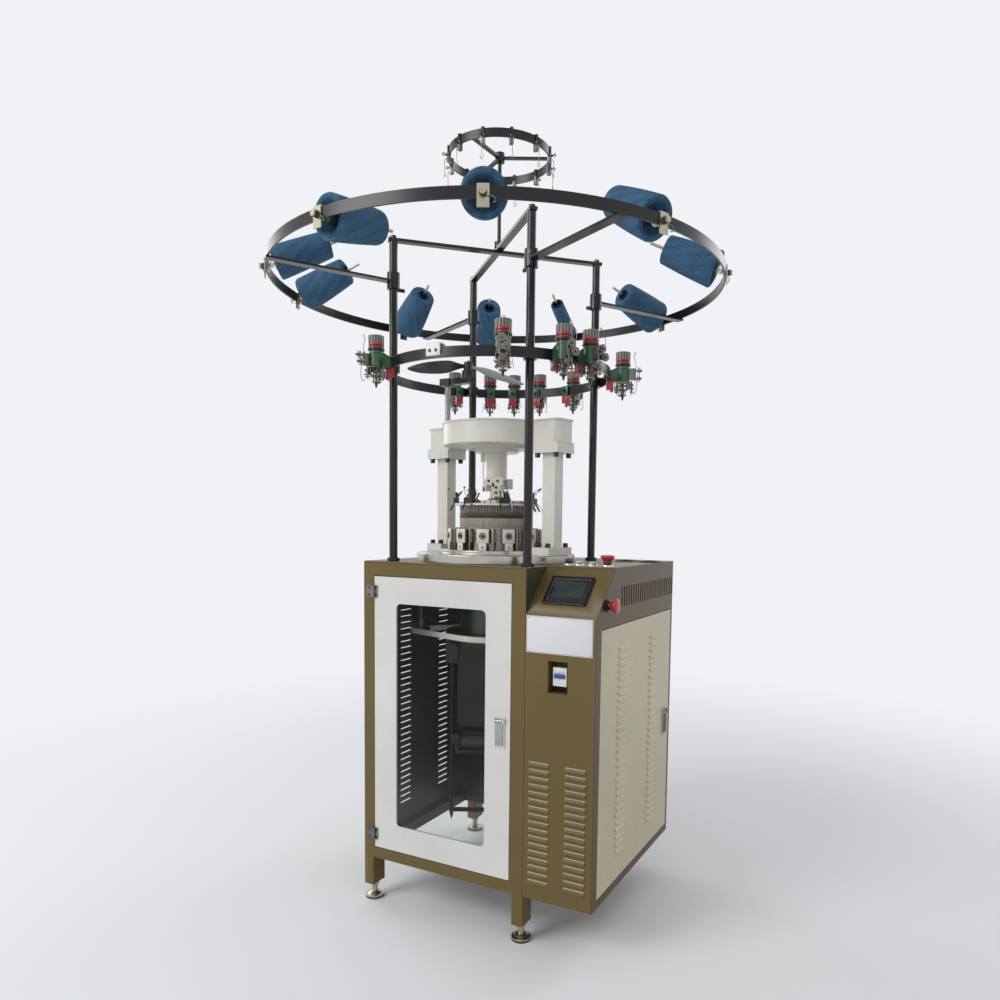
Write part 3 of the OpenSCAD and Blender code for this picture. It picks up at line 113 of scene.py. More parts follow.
class Sock:
    """One output socket of a finish. Python's operators add the Math nodes."""

    def __init__(self, finish, socket):
        self.finish = finish
        self.socket = socket

    def math(self, operation, *values):
        return self.finish.node("Math", {"operation": operation}, *values)

    def __add__(self, other):
        return self.math("ADD", self, other)

    __radd__ = __add__

    def __sub__(self, other):
        return self.math("SUBTRACT", self, other)

    def __rsub__(self, other):
        return self.math("SUBTRACT", other, self)

    def __mul__(self, other):
        return self.math("MULTIPLY", self, other)

    __rmul__ = __mul__

    def __gt__(self, other):
        return self.math("GREATER_THAN", self, other)

    def __lt__(self, other):
        return self.math("LESS_THAN", self, other)

    def sine(self):
        return self.math("SINE", self)

    def most(self, other):
        return self.math("MAXIMUM", self, other)

    def between(self, low, high):
        """0 below low, 1 above high, smooth in between."""
        settings = {"interpolation_type": "SMOOTHSTEP"}
        return self.finish.node("MapRange", settings, self, low, high, 0.0, 1.0)


class Finish:
    """A material or a world in the making: its nodes, added through one method, and its shader."""

    def __init__(self, name, kind="Material"):
        self.kind = kind
        self.owner = {"Material": bpy.data.materials, "World": bpy.data.worlds}[kind].new(name)
        self.owner.use_nodes = True
        self.tree = self.owner.node_tree
        self.tree.nodes.clear()

    def node(self, kind, settings=None, *values, out=0, **named):
        """Adds a node, sets its settings, then its values or links, and gives one output."""
        made = self.tree.nodes.new("ShaderNode" + kind)
        for key, value in (settings or {}).items():
            setattr(made, key, value)
        sockets = [s for s in made.inputs if s.enabled]
        for socket, value in zip(sockets, values):
            self.feed(socket, value)
        for key, value in named.items():
            self.feed(made.inputs[key.replace("_", " ")], value)
        outputs = [s for s in made.outputs if s.enabled]
        return Sock(self, made.outputs[out] if isinstance(out, str) else outputs[out])

    def feed(self, socket, value):
        if isinstance(value, Sock):
            self.tree.links.new(value.socket, socket)
        elif value is not None:
            socket.default_value = value

    def place(self, stretch=None):
        """The row frame's own coordinates, in metres, stretched for a pattern."""
        place = self.node("TexCoord", out="Object")
        return self.node("Mapping", None, Vector=place, Scale=stretch) if stretch else place

    def axis(self, name):
        """One coordinate of the row frame: X, Y or Z."""
        return self.node("SeparateXYZ", None, self.place(), out=name)

    def noise(self, scale, detail=3.0, rough=0.5, where=None):
        where = where or self.place()
        return self.node("TexNoise", None, Vector=where, Scale=scale, Detail=detail, Roughness=rough)

    def mix(self, factor, first, second):
        return self.node("Mix", {"data_type": "RGBA"}, factor, first, second)

    def bump(self, height, depth, strength=1.0):
        return self.node("Bump", None, Strength=strength, Distance=depth, Height=height)

    def away(self):
        """How far a point lies from the knitting axis."""
        return self.node("VectorMath", {"operation": "LENGTH"}, self.place((1, 1, 0)), out="Value")

    def done(self, shader):
        output = self.tree.nodes.new("ShaderNodeOutput" + self.kind)
        self.tree.links.new(shader.socket, output.inputs["Surface"])
        return self.owner

    def solid(self, **sockets):
        """Ends the finish with the standard shader."""
        return self.done(self.node("BsdfPrincipled", None, **sockets))


# Finishes


def shade(colour, factor):
    """The same colour made lighter or darker."""
    return (colour[0] * factor, colour[1] * factor, colour[2] * factor, 1.0)


def indoor_shade(f):
    """1 on the cabinet's inner faces, which get a dark colour as painted shade."""
    x, y, z = ((f.axis(a) > low) * (f.axis(a) < high) for a, (low, high) in zip("XYZ", INSIDE))
    return x * y * z


def door_leaf(f):
    """1 on the hinge leaves and knuckles that the front door carries."""
    x, y = (f.axis(a) for a in "XY")
    return (x < -0.2296) * (y < -0.2379)


def side_hood_highlight(f):
    """1 on the louvre hoods of the side door, painted paler as a painted highlight where the light falls.
    """
    return (f.axis("X") > 0.4104) * (f.axis("Y") < 0.25)


def hood_root_highlight(f):
    """1 on the upper edges of the control box's front hoods, painted paler as a painted highlight where the
    light catches the bend.
    """
    x, y = (f.axis(a) for a in "XY")
    return (x > 0.2235) * (y < -0.2377) * (y > -0.2391)


def far_face_shade(f):
    """1 on the control box's right side, which is painted darker as painted shade."""
    return f.axis("X") > 0.4085


def finger_track(f):
    """1 on the pale ring and posts that carry the finger groups."""
    return (f.away() < 0.1179) * (f.axis("Z") < 1.1119)


def fan_pole(f):
    """1 on the bare steel pole under the fan's head."""
    return f.axis("Z") < 1.4495


def enamel(name, colour, rough=0.38, dust=0.25, coat=0.0, gloss=0.5, zones=(), metal=0.0):
    """Sprayed enamel on sheet steel: orange peel, slight clouding, dust that settles low down.

    Each zone is a mask of faces, the other colour that shows there, and how much of it does; some zones are
    painted shade or painted highlight.
    Metal is 1 where a zone is bare metal.
    """
    f = Finish(name)
    cloud = f.noise(3.1, 4.0, 0.6)
    speck = f.noise(420.0, 2.0)
    low = 1 - f.axis("Z").between(0.05, 0.55)
    streak = f.noise(2.2, 5.0, 0.65, f.place((9, 9, 0.8)))
    worn = streak.between(0.55, 0.78)
    base = f.mix(cloud.between(0.3, 0.7), shade(colour, 0.94), shade(colour, 1.05))
    base = f.mix(speck.between(0.62, 0.75) * 0.18, base, shade(colour, 0.8))
    base = f.mix(low * worn * dust, base, tone("A79E8C"))
    roughness = rough + (cloud - 0.5) * 0.10 + low * worn * 0.2 + (speck - 0.5) * 0.05
    peel = f.noise(650.0, 2.0) * 0.6 + f.noise(160.0, 1.0)
    metallic = 0.0
    for mask, other, share in zones:
        part = mask(f) * share
        base = f.mix(part, base, f.mix(cloud.between(0.3, 0.7), shade(other, 0.85), shade(other, 1.1)))
        metallic = part * metal
    return f.solid(
        Base_Color=base, Roughness=roughness, Normal=f.bump(peel, 0.00006), Metallic=metallic,
        Specular_IOR_Level=gloss, Coat_Weight=coat, Coat_Roughness=0.12,
    )


def cast_enamel(name, colour, stain, rough=0.42):
    """Thick enamel over rough castings, with oil stains in streaks and specks."""
    f = Finish(name)
    cloud = f.noise(9.0, 5.0, 0.62)
    drip = f.noise(14.0, 5.0, 0.6, f.place((4, 4, 1)))
    speck = f.noise(260.0, 3.0)
    base = f.mix(cloud.between(0.25, 0.75), shade(colour, 0.93), shade(colour, 1.04))
    base = f.mix(drip.between(0.58, 0.8) * 0.35, base, stain)
    base = f.mix(speck.between(0.66, 0.74) * 0.35, base, shade(stain, 0.7))
    sand = f.noise(210.0, 4.0, 0.7) + f.noise(28.0, 2.0) * 2.0
    return f.solid(
        Base_Color=base, Roughness=rough + (drip - 0.5) * 0.3, Normal=f.bump(sand, 0.00025, 0.8),
        Coat_Weight=0.3, Coat_Roughness=0.18,
    )


def needle_bed(name):
    """Grooved steel browned by oil: bright lines on top, a dark band, fine lines below."""
    f = Finish(name)
    x, y, z = (f.axis(a) for a in "XYZ")
    turn = f.node("Math", {"operation": "ARCTAN2"}, y, x)
    cloud = f.noise(26.0, 4.0, 0.6)
    streak = f.noise(40.0, 3.0, 0.6, f.place((6, 6, 0.6)))
    fine, coarse = (turn * (4 * NEEDLES)).sine(), (turn * (2 * NEEDLES)).sine()
    lower = f.mix(fine.between(-0.3, 0.9), tone("857E75"), tone("ACA69C"))
    lower = f.mix(streak.between(0.45, 0.7) * 0.5, lower, tone("6E675E"))
    middle = f.mix(coarse.between(0.1, 0.9), tone("3B342C"), tone("71675B"))
    upper = f.mix(coarse.between(0.3, 0.8), tone("241F1A"), tone("A79E91"))
    base = f.mix(z > 1.072, lower, middle)
    base = f.mix(z > 1.089, base, upper)
    base = f.mix((z > 1.0725) * (z < 1.0785), base, tone("322B24"))
    base = f.mix(cloud.between(0.5, 0.8) * 0.4, base, tone("4A4238"))
    normal = f.bump(fine + streak, 0.0002, 0.5)
    return f.solid(Base_Color=base, Metallic=0.55, Roughness=0.42 + (cloud - 0.5) * 0.2, Normal=normal)


def machined(name, colour, rough=0.3, rings=0.00002, stretch=(1, 1, 60), tarnish=0.35):
    """Turned or ground metal with fine tool marks and a little oil."""
    f = Finish(name)
    marks = f.noise(30.0, 5.0, 0.75, f.place(stretch))
    cloud = f.noise(24.0, 4.0, 0.6)
    base = f.mix(cloud.between(0.4, 0.75) * tarnish, colour, shade(colour, 0.45))
    roughness = rough + (marks - 0.5) * 0.25 + (cloud - 0.5) * 0.15
    normal = f.bump(marks, rings, 0.7)
    return f.solid(Base_Color=base, Metallic=1.0, Roughness=roughness, Normal=normal)


def moulded(name, colour, rough=0.4, grain=0.00003, coat=0.0, clouds=0.07, gloss=0.5):
    """Moulded plastic or rubber with a fine spark-eroded grain."""
    f = Finish(name)
    grainy = f.noise(900.0, 2.0)
    cloud = f.noise(40.0, 4.0, 0.6)
    base = f.mix(cloud.between(0.35, 0.7), shade(colour, 1 - clouds), shade(colour, 1 + clouds))
    roughness = rough + (cloud - 0.5) * 0.18 + (grainy - 0.5) * 0.08
    return f.solid(
        Base_Color=base, Roughness=roughness, Normal=f.bump(grainy, grain, 0.8),
        Specular_IOR_Level=gloss, Coat_Weight=coat, Coat_Roughness=0.08,
    )


def wound_yarn(name, colour):
    """Yarn wound crosswise on a cone: two families of strands that cross, their creases darker as painted
    shade.
    """
    f = Finish(name)

    def crossed(one, other, lean, back):
        """Two sets of strands: how many each has to a metre, and how much they lean."""
        ways = [(drift * one + turn * lean) * math.tau, (drift * other - turn * back) * math.tau]
        return ways[0].sine().most(ways[1].sine())

    wrap = f.node("UVMap", {"uv_map": "wrap"})
    turn, along = (f.node("SeparateXYZ", None, wrap, out=axis) for axis in "XY")
    cloud = f.noise(17.0, 4.0, 0.6)
    wander = f.noise(45.0, 3.0, 0.6)
    drift = along + (wander - 0.5) * 0.006
    strands = crossed(480, 480, 31, 31)
    bundles = crossed(205, 190, 5, 4)
    fluff = f.noise(600.0, 3.0, 0.7)
    # Darker in the creases between strands and between bundles: painted shade
    base = f.mix(strands.between(-0.4, 0.9), shade(colour, 0.6), shade(colour, 1.05))
    base = f.mix((1 - bundles.between(-0.6, 0.5)) * 0.85, base, shade(colour, 0.36))
    base = f.mix(cloud.between(0.35, 0.7) * 0.45, base, shade(colour, 1.15))
    base = f.mix(fluff.between(0.55, 0.8) * 0.22, base, tone("7F9DB8"))
    normal = f.bump(strands * 0.25 + bundles + fluff * 0.3, 0.0011)
    roughness = 0.86 + (fluff - 0.5) * 0.2
    return f.solid(Base_Color=base, Roughness=roughness, Normal=normal, Specular_IOR_Level=0.2)


def window_pane(name):
    """Safety glass: clear, a little brighter at a grazing angle, with faint smears, and a pale film low
    down that is a painted reflection.
    """
    f = Finish(name)
    smear = f.noise(7.0, 5.0, 0.6, f.place((1, 1, 2.5)))
    clear = f.node("BsdfTransparent", None, (0.93, 0.945, 0.925, 1.0))
    gloss = f.node("BsdfGlossy", None, Color=(0.9, 0.95, 0.9, 1.0), Roughness=0.03)
    film = f.node("BsdfDiffuse", None, (0.72, 0.74, 0.73, 1.0))
    glance = f.node("Fresnel", None, 1.46)
    share = f.node("MixShader", None, glance * 0.12, clear, gloss)
    low = 1 - f.axis("Z").between(0.2, 0.5)
    # The smear term is faint dirt; the low term is a painted reflection
    dust = smear.between(0.5, 0.8) * 0.008 + low * 0.02 + 0.001
    return f.done(f.node("MixShader", None, dust, share, film))


def floor_paper(name, colour):
    """Pale studio floor that fades into the light round it."""
    f = Finish(name)
    paper = f.node("BsdfDiffuse", None, f.mix(f.noise(60.0, 2.0), shade(colour, 0.99), colour))
    fade = f.away().between(1.3, 3.6)
    return f.done(f.node("MixShader", None, fade, paper, f.node("BsdfTransparent")))


# Shaping: sizes are in millimetres in the row frame


def alone(obj):
    """Selects one object and makes it the active one."""
    bpy.ops.object.select_all(action="DESELECT")
    obj.select_set(True)
    bpy.context.view_layer.objects.active = obj
    return obj


def started(name, finish):
    """Names the primitive that was just added and gives it a finish."""
    obj = bpy.context.object
    obj.name = obj.data.name = name
    obj.data.materials.append(FINISHES[finish])
    return obj


def spot(x=0.0, y=0.0, z=0.0, turn=0.0, axis="Z"):
    """A place in millimetres, turned by degrees about one axis."""
    return Matrix.Translation((x * MM, y * MM, z * MM)) @ Matrix.Rotation(math.radians(turn), 4, axis)


def pick_flat(both=False):
    """Opens the active object for editing with its top face selected, or top and bottom."""
    bpy.ops.object.mode_set(mode="EDIT")
    bpy.ops.mesh.select_mode(type="FACE")
    bpy.ops.mesh.select_all(action="DESELECT")
    mesh = bpy.context.object.data
    bm = bmesh.from_edit_mesh(mesh)
    for face in bm.faces:
        face.select_set(face.normal.z > 0.9 or both and face.normal.z < -0.9)
    bm.select_flush_mode()
    bmesh.update_edit_mesh(mesh)


def everything():
    """In edit mode, selects all there is."""
    bpy.ops.mesh.select_all(action="SELECT")


def drawn(distance):
    """In edit mode, extrudes the selection upwards by millimetres."""
    bpy.ops.mesh.extrude_region_move(TRANSFORM_OT_translate={"value": (0, 0, distance * MM)})


def inset(thick):
    """In edit mode, insets the selected faces by millimetres."""
    bpy.ops.mesh.inset(thickness=thick * MM)


def outward():
    """In edit mode, turns every face outwards."""
    bpy.ops.mesh.select_mode(type="FACE")
    everything()
    bpy.ops.mesh.normals_make_consistent(inside=False)
    bpy.ops.object.mode_set(mode="OBJECT")


def stacked(name, finish, profile, sides=32, bore=False):
    """Rings stacked by extruding and scaling: (radius, height) from the bottom up.

    A bore is open inside, and its last ring is closed on its first.
    """
    (radius, height), *rest = profile
    bpy.ops.object.select_all(action="DESELECT")
    fill = "NOTHING" if bore else "NGON"
    bpy.ops.mesh.primitive_circle_add(vertices=sides, radius=radius * MM, fill_type=fill)
    obj = started(name, finish)
    bpy.ops.object.mode_set(mode="EDIT")
    bpy.ops.mesh.select_mode(type="VERT")
    everything()
    bpy.ops.transform.translate(value=(0, 0, height * MM))
    for wide, high in rest:
        drawn(high - height)
        if wide != radius:
            grow = wide / radius
            bpy.ops.transform.resize(value=(grow, grow, 1), center_override=(0, 0, high * MM))
        radius, height = wide, high
    if bore:
        bpy.ops.mesh.select_mode(type="EDGE")
        bpy.ops.mesh.select_all(action="DESELECT")
        bpy.ops.mesh.select_non_manifold()
        bpy.ops.mesh.bridge_edge_loops()
    outward()
    return obj


def soften(ease, segments):
    """In edit mode, bevels every edge."""
    everything()
    bpy.ops.mesh.bevel(offset=ease * MM, segments=segments, affect="EDGES")


def block(name, finish, low, high, ease=0.8, segments=2):
    """A box between two corners with eased edges."""
    middle = [(a + b) / 2 * MM for a, b in zip(low, high)]
    size = [(b - a) * MM for a, b in zip(low, high)]
    bpy.ops.object.select_all(action="DESELECT")
    bpy.ops.mesh.primitive_cube_add(size=1, location=middle, scale=size)
    obj = started(name, finish)
    bpy.ops.object.transform_apply(location=True, rotation=True, scale=True)
    bpy.ops.object.mode_set(mode="EDIT")
    soften(ease, segments)
    outward()
    return obj


def plate(name, finish, outline, thick, ease=0.8, segments=2):
    """A flat outline in XY, drawn up by a thickness, with eased edges."""
    bpy.ops.object.select_all(action="DESELECT")
    bpy.ops.mesh.primitive_circle_add(vertices=len(outline), radius=1, fill_type="NGON")
    obj = started(name, finish)
    for vertex, (x, y) in zip(obj.data.vertices, outline):
        vertex.co = (x * MM, y * MM, 0)
    bpy.ops.object.mode_set(mode="EDIT")
    everything()
    drawn(thick)
    if ease:
        soften(ease, segments)
    outward()
    return obj


def rounded(wide, high, radius, steps=4):
    """The outline of a flat rectangle with round corners, centred."""
    points = []
    for x, y, start in ((1, 1, 0), (-1, 1, 90), (-1, -1, 180), (1, -1, 270)):
        for step in range(steps + 1):
            turn = math.radians(start + 90 * step / steps)
            across = x * (wide / 2 - radius) + radius * math.cos(turn)
            points.append((across, y * (high / 2 - radius) + radius * math.sin(turn)))
    return points


def move(obj, at=(0, 0, 0), turn=(0, 0, 0)):
    """Turns an object by degrees and moves it, on top of what it already is."""
    spin = Euler([math.radians(a) for a in turn]).to_matrix().to_4x4()
    obj.matrix_basis = Matrix.Translation([a * MM for a in at]) @ spin @ obj.matrix_basis
    return obj


def aimed(obj, start, end):
    """Stands an object that was made along +Z on start, pointing at end."""
    start, end = Vector(start) * MM, Vector(end) * MM
    turn = (end - start).to_track_quat("Z", "Y").to_matrix().to_4x4()
    obj.matrix_basis = Matrix.Translation(start) @ turn @ obj.matrix_basis
    return obj


def rod(name, finish, radius, start, end, sides=10):
    """A round bar between two points with eased ends."""
    length = (Vector(end) - Vector(start)).length
    ease = min(radius * 0.3, length * 0.2)
    profile = [(radius - ease, 0), (radius, ease), (radius, length - ease), (radius - ease, length)]
    return aimed(stacked(name, finish, profile, sides), start, end)


def wire(name, finish, radius, points):
    """A bent wire through points."""
    curve = bpy.data.curves.new(name, "CURVE")
    curve.dimensions = "3D"
    curve.bevel_depth = radius * MM
    curve.bevel_resolution = 2
    curve.resolution_u = 4
    curve.use_fill_caps = True
    knots = curve.splines.new("BEZIER").bezier_points
    knots.add(len(points) - 1)
    for knot, point in zip(knots, points):
        knot.co = Vector(point) * MM
        knot.handle_left_type = knot.handle_right_type = "AUTO"
    obj = bpy.data.objects.new(name, curve)
    bpy.context.scene.collection.objects.link(obj)
    curve.materials.append(FINISHES[finish])
    alone(obj)
    bpy.ops.object.convert(target="MESH")
    return bpy.context.object


def joined(name, parts):
    """Makes one piece of several."""
    parts = list(parts)
    bpy.context.view_layer.update()
    alone(parts[0])
    for part in parts[1:]:
        part.select_set(True)
    if len(parts) > 1:
        bpy.ops.object.join()
    obj = bpy.context.object
    obj.name = obj.data.name = name
    return obj


def copied(obj, name, matrix=None):
    """A copy with its own mesh, moved by a matrix."""
    twin = obj.copy()
    twin.data = obj.data.copy()
    twin.name = twin.data.name = name
    bpy.context.scene.collection.objects.link(twin)
    if matrix is not None:
        twin.matrix_basis = matrix @ obj.matrix_basis
    return twin


def spread(obj, name, matrices):
    """Copies an object to every place, joins the copies and removes the original."""
    twins = [copied(obj, f"{name} {i}", m) for i, m in enumerate(matrices)]
    bpy.data.objects.remove(obj)
    return joined(name, twins)


def polar(turn, distance=0.0, height=0.0):
    """The place at a direction from the knitting axis, X pointing outwards."""
    return spot(turn=turn) @ spot(distance, 0, height)


def around(count, start=0.0):
    """Places spaced evenly round the knitting axis."""
    return [polar(start + 360 * i / count) for i in range(count)]


def wrapped(obj):
    """Gives a stacked shape a UV map: once round its axis, and along its profile in metres."""
    mesh = obj.data
    layer = mesh.uv_layers.new(name="wrap").data
    for face in mesh.polygons:
        turns = []
        for loop in face.loop_indices:
            at = mesh.vertices[mesh.loops[loop].vertex_index].co
            turns.append(math.atan2(at.y, at.x) / math.tau % 1.0)
        high = max(turns)
        for loop, turn in zip(face.loop_indices, turns):
            at = mesh.vertices[mesh.loops[loop].vertex_index].co
            layer[loop].uv = (turn + 1 if high - turn > 0.5 else turn, at.z - at.xy.length)
    return obj


def settle(obj, body, angle=35.0):
    """Gives a finished piece its place in its mesh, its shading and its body."""
    bpy.context.view_layer.update()
    alone(obj)
    bpy.ops.object.transform_apply(location=True, rotation=True, scale=True)
    bpy.ops.object.shade_smooth_by_angle(angle=math.radians(angle))
    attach(obj, body)
    return obj


def laid(name, parts, places, body="machine", angle=35.0):
    """Joins the parts, copies them to every place and settles it all as one piece."""
    return settle(spread(joined(name, parts), name, places), body, angle)


def eased(node, finish, body, width=1.2, segments=2, limit=40.0):
    """A merged copy of a CAD node with eased edges, which stands for the node."""
    source = NODES[node]
    obj = bpy.data.objects.new(node + "_eased", source.data.copy())
    bpy.context.scene.collection.objects.link(obj)
    obj.data.materials.clear()
    obj.data.materials.append(FINISHES[finish])
    alone(obj)
    bpy.ops.object.mode_set(mode="EDIT")
    everything()
    bpy.ops.mesh.remove_doubles(threshold=0.00002)
    bpy.ops.mesh.dissolve_limited(angle_limit=math.radians(1.0))
    bpy.ops.object.mode_set(mode="OBJECT")
    bevel = obj.modifiers.new("ease", "BEVEL")
    bevel.width = width * MM
    bevel.segments = segments
    bevel.limit_method = "ANGLE"
    bevel.angle_limit = math.radians(limit)
    bevel.use_clamp_overlap = True
    bpy.ops.object.modifier_apply(modifier=bevel.name)
    settle(obj, body)
    level = obj.modifiers.new("level", "WEIGHTED_NORMAL")
    level.keep_sharp = True
    bpy.ops.object.modifier_apply(modifier=level.name)
    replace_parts(obj, node)
    return obj


def on_spindle(turn, bend):
    """The start of a cone's spindle: Z runs inwards and up along it."""
    return polar(turn, SPINDLE_AT, SPINDLE_Z) @ spot(turn=SPINDLE_RISE + bend - 90, axis="Y")


def paint_node(node, material):
    """Puts a finish on a CAD node as it stands."""
    obj = NODES[node]
    obj.data.materials.clear()
    obj.data.materials.append(material)


# What a user may change


COLOUR = {"subtype": "COLOR", "size": 4}


class KnitStage(bpy.types.PropertyGroup):
    """Floor, background and light."""

    floor: bpy.props.FloatVectorProperty(
        name="Floor", description="Colour of the floor", default=tone("EEF0F3"), **COLOUR
    )
    sky: bpy.props.FloatVectorProperty(
        name="Background", description="Colour round the floor", default=tone("F0F2F6"), **COLOUR
    )
    fill: bpy.props.FloatProperty(
        name="Fill light", description="Strength of the light from all round", default=0.55
    )
    key: bpy.props.FloatProperty(
        name="Key light", description="Power of the large lamp", default=95.0, subtype="POWER"
    )


class KnitPaints(bpy.types.PropertyGroup):
    """Colours of the enamels and plastics."""

    cabinet: bpy.props.FloatVectorProperty(
        name="Cabinet", description="Olive-brown enamel", default=tone("69582F"), **COLOUR
    )
    door: bpy.props.FloatVectorProperty(
        name="Front door", description="Pale enamel", default=tone("DAD8D4"), **COLOUR
    )
    # The side door's colour is the front door's pale enamel darkened as painted shade
    side: bpy.props.FloatVectorProperty(
        name="Side door", description="Pale enamel in painted shade", default=tone("C3BA9C"), **COLOUR
    )
    ivory: bpy.props.FloatVectorProperty(
        name="Castings", description="Ivory enamel", default=tone("D9D5CB"), **COLOUR
    )
    green: bpy.props.FloatVectorProperty(
        name="Feeders", description="Green enamel", default=tone("2F5A3C"), **COLOUR
    )
    red: bpy.props.FloatVectorProperty(
        name="Red plastic", description="Stop switches and clutch rings", default=tone("B3262A"), **COLOUR
    )
    yarn: bpy.props.FloatVectorProperty(
        name="Yarn", description="Blue yarn", default=tone("4C7699"), **COLOUR
    )


FINISHES = {}


class KNIT_OT_finishes(bpy.types.Operator):
    """Mixes the finishes and puts them on the frame's own parts"""

    bl_idname = "knit.finishes"
    bl_label = "Finishes"

    def execute(self, context):
        paints = context.scene.knit_paints
        FINISHES.update(
            olive=enamel(
                "olive enamel", paints.cabinet, gloss=0.35,
                zones=(
                    # Painted shade on the inner faces and the right side, a painted highlight on the hood
                    # roots
                    (indoor_shade, tone("38412E"), 1.0), (hood_root_highlight, tone("F2E8CC"), 0.45),
                    (far_face_shade, tone("4C3B0E"), 1.0),
                ),
            ),
            door=enamel(
                "pale enamel", paints.door, rough=0.33, zones=((door_leaf, tone("84837F"), 1.0),),
                metal=1.0,
            ),
            # The side door: pale enamel darkened as painted shade, its louvre hoods paler as a painted
            # highlight
            side=enamel(
                "warm pale enamel", paints.side, rough=0.36, zones=((side_hood_highlight, tone("E3DCC6"), 0.5),),
            ),
            ivory=cast_enamel("ivory enamel", paints.ivory, tone("8A7A58")),
            green=cast_enamel("green enamel", paints.green, tone("22311F"), rough=0.35),
            black=enamel("black enamel", tone("161514"), rough=0.3, dust=0.1, gloss=0.4),
            steel=machined("ground steel", tone("A9A9A6")),
            chrome=machined("chrome", tone("C9CACB"), rough=0.12, rings=0.000005, tarnish=0.15),
            plastic=moulded("black plastic", tone("1A1B1D"), rough=0.36),
            white=moulded("white plastic", tone("E6E5DF"), rough=0.33),
            red=moulded("red plastic", paints.red, rough=0.3, coat=0.3),
            blue=moulded("blue plastic", tone("2B5FA8"), rough=0.3),
            belt=moulded("belt fabric", tone("F2F1EC"), rough=0.7, grain=0.0002),
            rubber=moulded("foot rubber", tone("26272A"), rough=0.75, grain=0.0001),
            yarn=wound_yarn("wound yarn", paints.yarn),
            gloss=enamel("gloss black", tone("121110"), rough=0.24, dust=0.0, gloss=0.4, coat=0.08),
            needle=machined("needle steel", tone("A39C91"), rough=0.3, tarnish=0.4),
            bed=needle_bed("needle bed"),
            base_metal=machined(
                "base plate metal", tone("B7B5AD"), rough=0.24, stretch=(1, 1, 30), tarnish=0.3,
            ),
            cam_metal=machined("cam metal", tone("8E857B"), rough=0.4, tarnish=0.55),
            finger=enamel(
                "finger black", tone("1B1A19"), rough=0.3, dust=0.0,
                zones=((finger_track, tone("CFCAC0"), 1.0),),
            ),
            fan_head=enamel(
                "fan head", tone("1A1B1C"), rough=0.3, dust=0.0,
                zones=((fan_pole, tone("A3A29E"), 1.0),), metal=1.0,
            ),
            machined_ivory=machined("turned dial", tone("D2CDBD"), rough=0.38, tarnish=0.2),
            fan_grey=enamel("fan grey", tone("8B8D88"), rough=0.35, dust=0.0),
            # The same blade material as fan_grey, made darker as painted shade
            fan_dark=enamel("fan dark grey", tone("3A3F39"), rough=0.18, dust=0.0, coat=0.4),
            zinc=machined("zinc plate", tone("B5B09A"), rough=0.3, tarnish=0.3),
            latch=machined("latch plating", tone("A9ABA6"), rough=0.26, tarnish=0.3),
            hinge=machined("hinge steel", tone("7C7B78"), rough=0.42, tarnish=0.5),
            hinge_dark=machined("hinge screw", tone("4A4946"), rough=0.4),
            bezel=moulded("screen bezel", tone("17181A"), rough=0.34, gloss=0.25),
            trim=moulded("screen trim", tone("8A8F92"), rough=0.3),
            display=moulded("display glass", tone("0D0F11"), rough=0.14, grain=0.0, gloss=0.35),
            lit_display=moulded("display field", tone("2C3837"), rough=0.18, grain=0.0, gloss=0.35),
            plate_white=moulded("bare plate", tone("DEDFE2"), rough=0.3, grain=0.00001, clouds=0.008),
            gap=moulded("shadow gap", tone("15140F"), rough=0.9, gloss=0.1),
            core=moulded("cone core", tone("22344A"), rough=0.7, grain=0.0001, gloss=0.2),
            drum=enamel("drum metal", tone("938F86"), rough=0.42, dust=0.0, gloss=0.6),
            # Painted shade for the feeder drum's recessed walls
            groove=enamel("drum groove", tone("4A4740"), rough=0.5, dust=0.0),
            inner_steel=machined("oiled dark steel", tone("565B58"), rough=0.42, tarnish=0.5),
            rust=machined("oiled steel", tone("7D766C"), rough=0.38, tarnish=0.5),
            glass=window_pane("door glass"),
        )
        dress = {
            "olive": "cabinet_frame cabinet_lid left_panel back_panel rear_partition control_box",
            "door": "front_door",
            "side": "side_door",
            "ivory": "columns top_casting casting_cover dial_tube dial",
            "base_metal": "base_plate",
            "bed": "needle_cylinder",
            "cam_metal": "cam_ring",
            "finger": "yarn_fingers",
            "fan_head": "fan_stand",
            "green": "feeder_bodies",
            "black": "creel_posts crossbars top_ring creel_ring creel_arms feeder_ring takedown_frame",
            "steel": "door_hinges front_latch fan_blades drive_modules",
            "inner_steel": "rotor_pulley roller_front roller_back drive_shaft",
            "zinc": "cone_holders",
            "chrome": "levelling_feet switch_collars " + " ".join(FEEDER_WHEELS),
            "plastic": "touch_screen side_latch drive_motor selector",
            "white": "breaker button_left button_right",
            "red": "estop_top estop_side",
            "blue": "breaker_toggle",
            "belt": "drive_belt",
            "yarn": "yarn_cones",
            "glass": "door_glass",
        }
        for finish, nodes in dress.items():
            for node in nodes.split():
                paint_node(node, FINISHES[finish])
        return {"FINISHED"}


